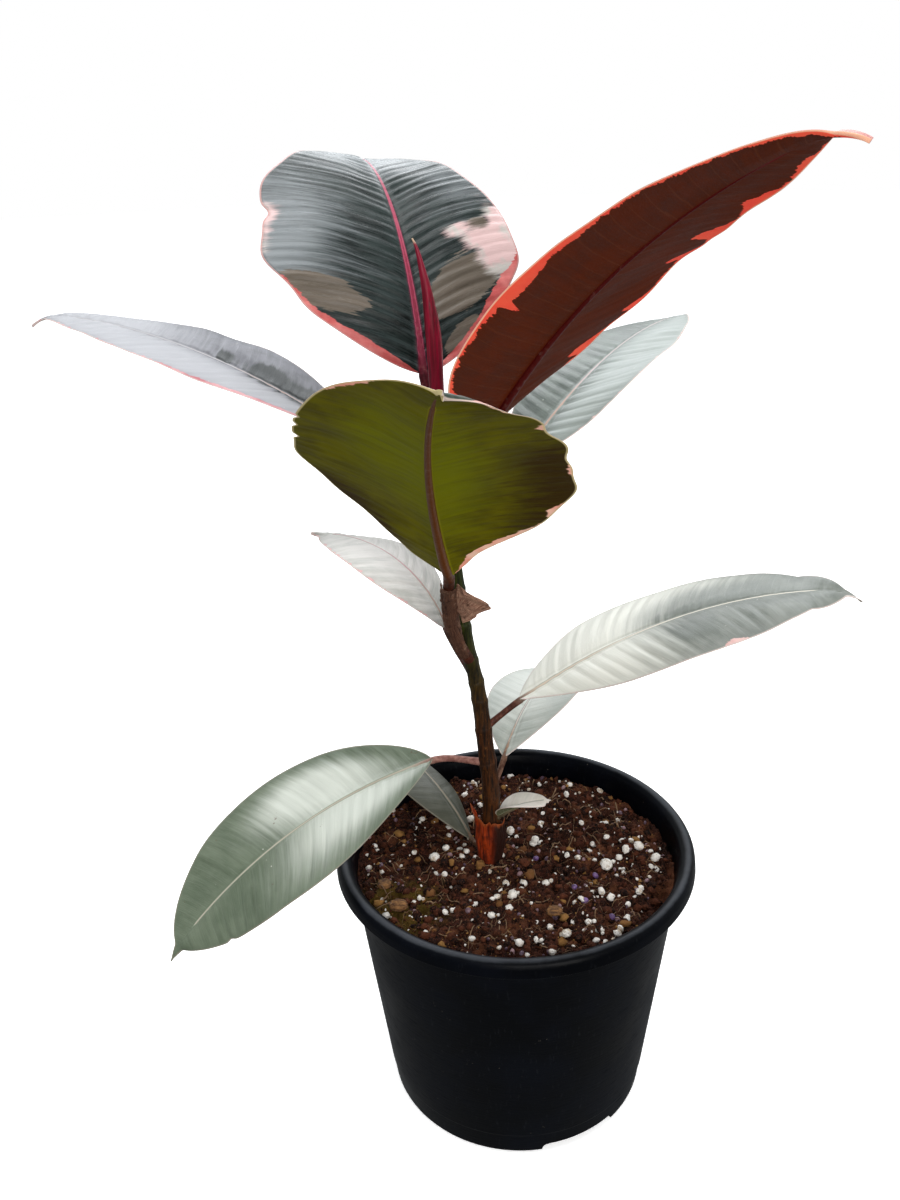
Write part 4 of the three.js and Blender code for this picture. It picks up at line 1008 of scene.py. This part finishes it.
def grow_blade(leaf, seed):
    """The blade's two sides as grids of points, and for each point three triples: its vein place, signed
    distance from the midrib and distance from the margin; the rim, patch and wash; and its place on the
    rib, the painted sheen and the painted shadow. The middle surface bends across its width from the fold
    by the cup, and is lifted along its normal by the corrugation of the veins and by slow waves that grow
    towards the margin."""
    s = np.linspace(0, 1, STATIONS)
    even = np.linspace(-1, 1, COLUMNS)
    v = np.sign(even) * np.abs(even) ** 1.35
    a = np.abs(v)[None]
    left, right_side = (half_width(leaf, s, half)[:, None] for half in (0, 1))
    reach = np.where(v < 0, left, right_side)
    base, tip = (np.where(v < 0, leaf["fold_left"][k], leaf["fold_right"][k]) for k in (0, 1))
    fold = np.radians(base + (tip - base) * s[:, None])
    cup = math.radians(leaf["cup"])
    out = (np.sin(fold + cup * a) - np.sin(fold)) / cup
    lift = (np.cos(fold) - np.cos(fold + cup * a)) / cup
    points, right, up = midrib(leaf, s)
    middle = points[:, None] + (np.sign(v) * out * reach)[..., None] * right[:, None]
    middle = middle + (lift * reach)[..., None] * up[:, None]

    y = a * reach
    margin = (1 - a) * reach + 0 * y
    vein = vein_place(leaf, s[:, None], y)
    side = np.sign(v)[None] + 0 * y
    calm = np.clip(a / 0.10, 0, 1) * np.clip(margin / 0.004, 0, 1) * np.clip((1 - s[:, None]) / 0.1, 0, 1)
    phase = vein / leaf["vein_gap"] + 0.4 * drift(vein / 0.017, side * 9.3, seed)
    folds = np.abs(np.sin(np.pi * phase)) ** 0.8 - 0.62
    folds = folds + 0.55 * drift(vein / 0.0017, y / 0.024 + 40 * side, seed + 1)
    folds = folds * (0.7 + 0.5 * drift(vein / 0.026, y / 0.020 + 20 * side, seed + 2))
    waves = np.zeros_like(y)
    for half, count, height, start in leaf.get("waves", ()):
        here = side < 0 if half == 0 else side >= 0
        waves = waves + here * height * a ** 2.2 * np.sin(2 * np.pi * (count * s[:, None] + start))
    slow = drift(vein / 0.019, y / 0.017 + 30 * side, seed + 3) * np.clip(a / 0.3, 0, 1)
    slow = slow * leaf.get("billow", 0.0009) * leaf["width"] / 0.09
    middle = middle + grid_normal(middle) * (waves + slow)[..., None]
    normal = grid_normal(middle)

    rib = rib_radius(leaf, s)[:, None]
    crease = CREASE_DEPTH * np.exp(-((y - 1.9 * rib) / (0.7 * rib)) ** 2)
    crease = crease * np.clip((1 - s[:, None]) * 3, 0, 1)
    thick = BLADE_HALF * (1 - 0.5 * a ** 2) * np.sqrt(np.clip(1 - a ** 10, 0.06, 1)) + 0 * y
    thick = np.minimum(thick, reach * 0.3)
    relief = leaf["relief"] * calm * folds
    upper = middle + normal * (thick + relief - crease)[..., None]
    lower = middle + normal * (-thick + 0.8 * relief)[..., None]

    band = np.where(v < 0, leaf["band"][0], leaf["band"][1])
    rim = (margin - band) / 0.006 - blotches(leaf, vein, v, "rim")
    kinds = ("patch", "wash", "bloom", "shadow")
    patch, wash, bloom, shadow = (blotches(leaf, vein, v, kind) - 0.5 for kind in kinds)
    midway = y / np.maximum(rib, 0.0006) + 4 * np.clip((s[:, None] - 0.86) / 0.08, 0, 1)
    return upper, lower, (vein, y * side, margin), (rim, patch, wash), (midway, bloom, shadow)


def stalk_curve(leaf, t):
    """Points at t along a cubic curve from the stem to the blade's base, with the curve's directions. It
    leaves on the stalk's heading and arrives on the blade's, and its two control points are pushed to the
    left by the bows."""
    start, end = stalk_ends(leaf)
    leave = start + leaf["stalk"] / 3 * toward(leaf["stalk_azimuth"], leaf["stalk_rise"])
    arrive = end - leaf["stalk"] / 3 * blade_heading(leaf, np.array([0.0]))[0]
    leave[0] -= leaf.get("stalk_bow", (0, 0))[0]
    arrive[0] -= leaf.get("stalk_bow", (0, 0))[1]
    points = (1 - t) ** 3 * start + 3 * t * (1 - t) ** 2 * leave
    points = points + 3 * t ** 2 * (1 - t) * arrive + t ** 3 * end
    ahead = (1 - t) ** 2 * (leave - start) + 2 * t * (1 - t) * (arrive - leave) + t ** 2 * (end - arrive)
    return points, unit(ahead)


def grow_rod(leaf):
    """Rings for the stalk and midrib, and each ring's place along them, below zero on the stalk. The
    stalk is flared where it joins the stem, and the midrib is sunk below the blade by half its radius."""
    t = np.linspace(0, 1, 90)[:, None]
    stalk = stalk_curve(leaf, t)[0]
    flare = 0.30 * np.exp(-(t * leaf["stalk"] / 0.0055) ** 2) + 0.08 * (2 * t - 1) ** 2
    thick = leaf["stalk_radius"] * (1 + flare)
    s = np.linspace(0, 0.93, 170)[1:]
    points, right, up = midrib(leaf, s)
    rib = rib_radius(leaf, s)[:, None] * np.clip((0.935 - s[:, None]) / 0.15, 0, 1) ** 0.5
    sunk = points - up * rib * 0.5 * np.clip(s[:, None] / 0.08, 0, 1)
    path = np.concatenate([stalk, sunk])
    aside = np.concatenate([np.repeat(right[:1], len(t), axis=0), right])
    radius = np.concatenate([thick, rib])
    along = np.concatenate([(t[:, 0] - 1) * leaf["stalk"], s * leaf["length"]])
    bumps = 1 + 0.03 * drift(along[:, None] / 0.0014, np.arange(ROD_SIDES)[None] * 0.8, 77)
    return rod_rings(path, radius * bumps, ROD_SIDES, aside), along


def leaf_face(name, colours, gap, gloss, shine, glow):
    """The finish of one side of a blade. Fine noise stretched along the side veins streaks the green and
    frays the borders of the patches; pale streaks and patches of painted sheen, dark patches of painted
    shade, soft washes, patches, the pink rim, the thin edge and the midrib's band lie over it. The glow is
    painted light: the blade gives off light in its own colour, standing for the light that a thin blade
    lets through."""
    face = Finish(name)
    vein, across, margin = face.split(face.attribute("vein"))
    rim, patch, wash = face.split(face.attribute("marbling"))
    midway, bloom, shadow = face.split(face.attribute("ribbing"))
    comb = colours.get("comb", 0.4)
    combed = face.join(vein, face.times(across, 0.10), 0.0)
    fine = face.noise(combed, 1500.0, 4.0, 0.6)
    broad = face.noise(combed, 330.0, 3.0, 0.55)
    mottle = face.noise(face.place(), 75.0, 4.0, 0.55)
    fray = face.sum(face.times(face.sum(fine, -0.5), 0.6), face.times(face.sum(broad, -0.5), 1.1))
    streaky = 0.35 + 0.65 * comb
    tone = face.span(face.sum(face.times(broad, streaky), face.times(mottle, 1.6 - streaky)), 0.62, 1.0)
    face.shade = face.mix(tone, colours["deep"], colours["base"])
    face.layer(colours["line"], fine, 0.35, 0.75, 0.12 + 0.25 * comb)
    lines = face.bounce(face.sum(face.times(vein, 1 / gap), face.times(broad, 0.5)), 0.5)
    face.layer(colours["line"], lines, 0.05, 0.0, colours.get("lines", 0.3))
    # Painted sheen: pale streaks and patches along the veins, where the waxy blade would catch the light.
    streaks = face.noise(face.join(vein, face.times(across, 0.05), 0.0), 620.0, 3.0, 0.6)
    bloom = face.sum(bloom, face.times(face.sum(streaks, -0.5), 2.6 * comb))
    face.layer(colours["bloom"], bloom, -0.4, 0.5, 0.9)
    shadow = face.sum(shadow, face.times(face.sum(broad, -0.5), 1.5))
    face.layer(colours.get("shadow", colours["deep"]), shadow, -0.12, 0.35, 0.93)
    patch_shade = face.mix(face.span(broad, 0.35, 0.65), colours["patch"], colours["patch_deep"])
    face.layer(patch_shade, face.sum(patch, face.times(fray, 0.8)), -0.03, 0.03)
    wash_deep = colours.get("wash_deep", colours["wash"])
    wash_shade = face.mix(face.span(mottle, 0.44, 0.58), colours["wash"], wash_deep)
    face.layer(wash_shade, face.sum(wash, fray), -0.25, 0.30)
    rim_shade = face.mix(face.span(mottle, 0.4, 0.65), colours["rim"], colours["rim_deep"])
    face.layer(rim_shade, face.sum(rim, fray), 0.05, -0.05)
    face.layer(colours["edge"], margin, 0.0009, 0.0004, 0.8)
    broadness = colours.get("rib_reach", 0.55)
    face.layer(colours["rib_side"], midway, broadness + 0.5, broadness + 0.1)
    face.layer(colours["rib"], midway, broadness, broadness - 0.2)
    specks = face.span(face.cells(face.place(), 260.0), 0.085, 0.045)
    specks = face.times(specks, face.span(face.noise(face.place(), 60.0, 2.0), 0.56, 0.64))
    face.cover("#e9e6df", face.times(specks, colours.get("specks", 0.0)))
    spots = face.span(face.noise(face.place(), 210.0, 3.0, 0.7), 0.70, 0.74)
    face.cover("#5d3a26", face.times(spots, colours.get("spots", 0.0)))
    pebble = face.noise(face.place(), 2600.0, 2.0)
    relief = face.sum(face.times(fine, 0.8), face.times(pebble, 0.35))
    rough = face.span(face.sum(fine, face.times(mottle, 0.7)), 0.55, 1.1, gloss - 0.06, gloss + 0.10)
    # Painted light: the surface glows in its own colour, as strong as the glow.
    return face.surface(
        roughness=rough, specular_level=shine, normal=face.bump(relief, 0.00016),
        emission_color=face.shade, emission_strength=glow,
    )


def stalk_face(name, stalk, stalk_deep, rib):
    """The finish of a stalk and midrib: mottled, and turning to the rib's colour along the blade."""
    face = Finish(name)
    along = face.split(face.attribute("vein"))[0]
    streak = face.noise(face.place(), 420.0, 4.0, 0.6)
    face.shade = face.mix(face.span(streak, 0.36, 0.66), stalk_deep, stalk)
    face.layer(rib, along, -0.004, 0.012)
    face.layer("#d9b7a6", streak, 0.55, 0.75, 0.12)
    return face.surface(roughness=0.42, specular_level=0.14, normal=face.bump(streak, 0.0002))


DARK_LEAVES = ("leaf_top_back", "leaf_upper_right", "leaf_front")

for seed, (name, leaf) in enumerate(LEAVES.items()):
    upper, lower, vein, marbling, ribbing = grow_blade(leaf, 100 + 10 * seed)
    rings, along = grow_rod(leaf)
    top_quads, under_quads, rim_quads = join_shells(STATIONS, COLUMNS)
    rod_quads = rod_faces(len(rings), ROD_SIDES)
    shift = 2 * upper[..., 0].size
    rod_shifted = [[index + shift for index in face] for face in rod_quads]
    faces = top_quads.tolist() + under_quads.tolist() + rim_quads.tolist() + rod_shifted
    face_looks = np.concatenate([
        np.zeros(len(top_quads), np.int32), np.ones(len(under_quads), np.int32),
        np.zeros(len(rim_quads), np.int32), np.full(len(rod_quads), 2, np.int32),
    ])
    points = np.concatenate([upper.reshape(-1, 3), lower.reshape(-1, 3), rings.reshape(-1, 3)])
    title = name.replace("leaf_", "")
    gap, gloss, lower_colours = leaf["vein_gap"], leaf["gloss"], leaf.get("lower", GREY_UNDER)
    looks = [
        leaf_face(f"{title}_upper_face", leaf["upper"], gap, gloss, leaf.get("shine", 0.45), 0.0),
        leaf_face(f"{title}_under_face", lower_colours, gap, gloss + 0.18, 0.09, leaf.get("glow", 0.0)),
        stalk_face(f"{title}_stalk", *leaf["stalk_paint"]),
    ]
    piece = make_piece(f"{name}_blade", points, faces, looks, face_looks)
    on_rod = np.zeros((rings[..., 0].size, 3))
    on_rod[:, 0] = np.repeat(along, ROD_SIDES)
    for label, fields in (("vein", vein), ("marbling", marbling), ("ribbing", ribbing)):
        grid = np.stack([field.ravel() for field in fields], axis=1)
        stored = piece.data.attributes.new(label, "FLOAT_VECTOR", "POINT")
        values = np.concatenate([grid, grid, on_rod if label == "vein" else 0 * on_rod])
        stored.data.foreach_set("vector", values.astype(np.float32).ravel())
    stand_for(piece, "leaf_dark_green" if name in DARK_LEAVES else "leaf_grey_green", name)

# ---------------------------------------------------------------- bud sheath
# The crimson sheath that is rolled tight round the growing tip. Its free edge runs up it as a low step,
# and it narrows to a hooked point whose last two millimetres have dried.

BUD = np.array([
    (-0.0284, 0.3350, 0.0027), (-0.0285, 0.3430, 0.0029), (-0.0290, 0.3610, 0.0031),
    (-0.0306, 0.3760, 0.0021), (-0.0324, 0.3860, 0.0013), (-0.0340, 0.3930, 0.0007),
    (-0.0356, 0.3968, 0.0003),
])                                                                    # x, z and radius, in the plane y = 0
BUD_RINGS = 220
BUD_SIDES = 72
bud_line = smooth_path(BUD, BUD_RINGS)
bud_path = np.insert(bud_line[:, :2], 1, 0, axis=1)
angle = np.arange(BUD_SIDES)[None] * 2 * np.pi / BUD_SIDES
rise = np.linspace(0, 1, BUD_RINGS)[:, None]
seam = -1.9 + 1.3 * rise
wound = ((angle - seam) / (2 * np.pi)) % 1
flutes = 0.012 * np.sin(9 * angle + 3 * rise) + 0.02 * drift(angle * 2.2, rise * 14, 61)
bud_radius = bud_line[:, 2:3] * (0.95 + 0.11 * wound + flutes + 0.05 * np.cos(2 * angle))
bud_rings = rod_rings(bud_path, bud_radius, BUD_SIDES, np.array([0, 1.0, 0]))

crimson = Finish("crimson_sheath")
place = crimson.place()
level = crimson.split(place)[2]
streak = crimson.noise(crimson.stretch(place, (900.0, 900.0, 45.0)), 1.0, 4.0, 0.6)
crimson.shade = crimson.mix(crimson.span(streak, 0.34, 0.66), "#63051a", "#9a0c30")
crimson.layer("#8d1030", level, 0.372, 0.394)
crimson.layer("#d8b79a", level, 0.3945, 0.3962)
bud_look = crimson.surface(roughness=0.36, specular_level=0.3, normal=crimson.bump(streak, 0.00018))
bud = make_piece("rolled_bud_sheath", bud_rings, rod_faces(BUD_RINGS, BUD_SIDES), [bud_look])
weld(bud)
bud.data.set_sharp_from_angle(angle=math.radians(50))
stand_for(bud, "bud_crimson", "bud_sheath")

# ---------------------------------------------------------------- papery sheaths
# Two old bud sheaths, dried to wrinkled paper. The orange one stands open round the stem's foot. The
# brown one clings to the front leaf's stalk, and its torn lobe stands out to one side.

PAPER = 0.0003
SHEATH_FOOT = 0.1195
SHEATH_HEIGHT = 0.0285


def paper_shell(name, sheet, look):
    """A closed shell about a grid of points, half the paper's thickness out along the grid's normal on
    each side. The attribute spot keeps each point's two grid places from 0 to 1."""
    normal = grid_normal(sheet)
    upper, lower = sheet + normal * PAPER / 2, sheet - normal * PAPER / 2
    faces = np.concatenate(join_shells(*sheet.shape[:2]))
    piece = make_piece(name, np.stack([upper, lower]), faces.tolist(), [look])
    i, j = np.meshgrid(np.linspace(0, 1, sheet.shape[0]), np.linspace(0, 1, sheet.shape[1]), indexing="ij")
    spot = np.stack([i.ravel(), j.ravel(), 0 * i.ravel()], axis=1)
    stored = piece.data.attributes.new("spot", "FLOAT_VECTOR", "POINT")
    stored.data.foreach_set("vector", np.concatenate([spot, spot]).astype(np.float32).ravel())
    weld(piece)
    return piece


foot_up = np.linspace(0, 1, 90)[:, None]
foot_round = np.linspace(0, 1, 190)[None]
azimuth = np.radians(158 + 214 * foot_round)
torn = 0.0016 * np.abs(drift(foot_round * 7 + 3, 0 * foot_round, 71))
torn = torn + 0.0007 * np.abs(drift(foot_round * 26, 0 * foot_round, 72))
torn = torn + 0.0038 * np.clip(foot_round / 0.35, 0, 1) ** 0.6
torn = torn + 0.0026 * np.clip((foot_round - 0.6) / 0.4, 0, 1)
sheath_z = SHEATH_FOOT + (SHEATH_HEIGHT - torn) * foot_up
profile = np.array([
    (SHEATH_FOOT, 0.0050), (0.126, 0.0058), (0.132, 0.0064), (0.138, 0.0060), (0.1435, 0.0062),
    (0.148, 0.0072),
])                                                                    # height and radius
sheath_r = np.interp(sheath_z, profile[:, 0], profile[:, 1])
sheath_r = sheath_r + 0.0008 * drift(foot_round * 8, foot_up * 2.6, 73)
sheath_r = sheath_r + 0.00022 * drift(foot_round * 34, foot_up * 7, 74)
sheath_r = sheath_r - 0.0008 * np.exp(-((foot_round - 0.52 - 0.1 * foot_up) / 0.035) ** 2)
sheath_r = sheath_r + 0.0027 * foot_up ** 4 * np.clip(1 - foot_round * 3.2, 0, 1)
centre_x = np.interp(sheath_z, STEM[:, 1], STEM[:, 0])
foot_sheet = np.stack(
    [centre_x + sheath_r * np.cos(azimuth), sheath_r * np.sin(azimuth), sheath_z], axis=-1
)

rusty = Finish("orange_paper")
place = rusty.place()
up_it, round_it = rusty.split(rusty.attribute("spot"))[:2]
grain = rusty.noise(rusty.stretch(place, (700.0, 700.0, 60.0)), 1.0, 5.0, 0.65)
blots = rusty.noise(place, 190.0, 4.0, 0.65)
rusty.shade = rusty.mix(rusty.span(grain, 0.32, 0.66), "#3f0e03", "#a83a0e")
rusty.layer("#330b04", blots, 0.50, 0.66, 0.75)
# Painted shade: the sheath is painted dark brown from about 300 degrees of azimuth round to its edge, as
# the side away from the light.
rusty.layer("#2a1108", rusty.sum(round_it, rusty.times(grain, 0.3)), 0.66, 0.80)
rusty.layer("#9a4a20", rusty.sum(up_it, rusty.times(grain, 0.2)), 1.0, 1.12)
foot_look = rusty.surface(roughness=0.6, specular_level=0.25, normal=rusty.bump(grain, 0.0005))
foot_sheath = paper_shell("foot_sheath_paper", foot_sheet, foot_look)
stand_for(foot_sheath, "orange_sheath", "foot_sheath")


def on_stalk(t, angle, out):
    """A spot beside the front leaf's stalk: at t along its curve, at an angle round it, and out to its
    side."""
    centre, ahead = stalk_curve(LEAVES["leaf_front"], t[..., None])
    side = unit(np.array([1.0, 0, 0]) - ahead[..., :1] * ahead)
    radius = LEAVES["leaf_front"]["stalk_radius"] + 0.0009
    turn = np.radians(angle)[..., None]
    spot = centre + side * (radius * np.cos(turn) + out[..., None])
    return spot + np.cross(side, ahead) * radius * np.sin(turn)


def dried_paper(name, dark, light, tatter):
    """The finish of wrinkled paper, streaked lengthwise from a dark to a light colour, with paler
    tatters."""
    paper = Finish(name)
    grain = paper.noise(paper.stretch(paper.attribute("spot"), (2.5, 34.0, 1.0)), 1.6, 5.0, 0.65)
    mottle = paper.noise(paper.place(), 240.0, 4.0, 0.6)
    paper.shade = paper.mix(paper.span(grain, 0.34, 0.66), dark, light)
    paper.layer(tatter, mottle, 0.52, 0.7, 0.6)
    paper.layer("#2d1710", mottle, 0.45, 0.30, 0.7)
    return paper.surface(roughness=0.75, specular_level=0.2, normal=paper.bump(grain, 0.0006))


sleeve_look = dried_paper("sleeve_paper", "#382016", "#7a5340", "#a5826c")
lobe_look = dried_paper("lobe_paper", "#7c5240", "#c89d84", "#b08a72")
u = np.linspace(0, 1, 130)[:, None]
w = np.linspace(0, 1, 70)[None]
frayed = 10 * drift(u * 14, 0 * u, 81) + 14 * np.abs(drift(u * 37, 0 * u, 82))
narrow = 0.42 + 0.58 * np.clip(u / 0.35, 0, 1) ** 0.8
angle = 97 + narrow * (108 - frayed) * (1 - 2 * w)
crinkle = 0.00035 * drift(u * 22, w * 7, 83) + 0.0002 * drift(u * 50, w * 15, 84)
sleeve_sheet = on_stalk(0.10 + 0.80 * u + 0 * w, angle, crinkle)
sleeve = paper_shell("dried_sheath_sleeve", sleeve_sheet, sleeve_look)
stand_for(sleeve, "dried_sheath", "dried_sheath")

u = np.linspace(0, 1, 110)[:, None]
w = np.linspace(0, 1, 90)[None]
reach = 0.002 + 0.0125 * (1 - np.abs(2 * u - 1.05) / 1.1) + 0.0010 * drift(u * 11, 0 * u, 85)
curl = 0.0022 * np.sin(2.3 * w + 3.5 * u) * w
curl = curl + 0.0006 * drift(u * 9, w * 5, 86) + 0.00025 * drift(u * 26, w * 7, 87)
lobe_sheet = on_stalk(0.56 + 0.34 * u + 0 * w, -10 + 0 * (u + w), reach * w)
lobe_sheet = lobe_sheet + curl[..., None] * np.array([0.15, -0.9, 0.2])
lobe_sheet[..., 2] -= 0.0048 * w ** 2
lobe = paper_shell("dried_sheath_lobe", lobe_sheet, lobe_look)
stand_for(lobe, "dried_sheath", "dried_sheath")
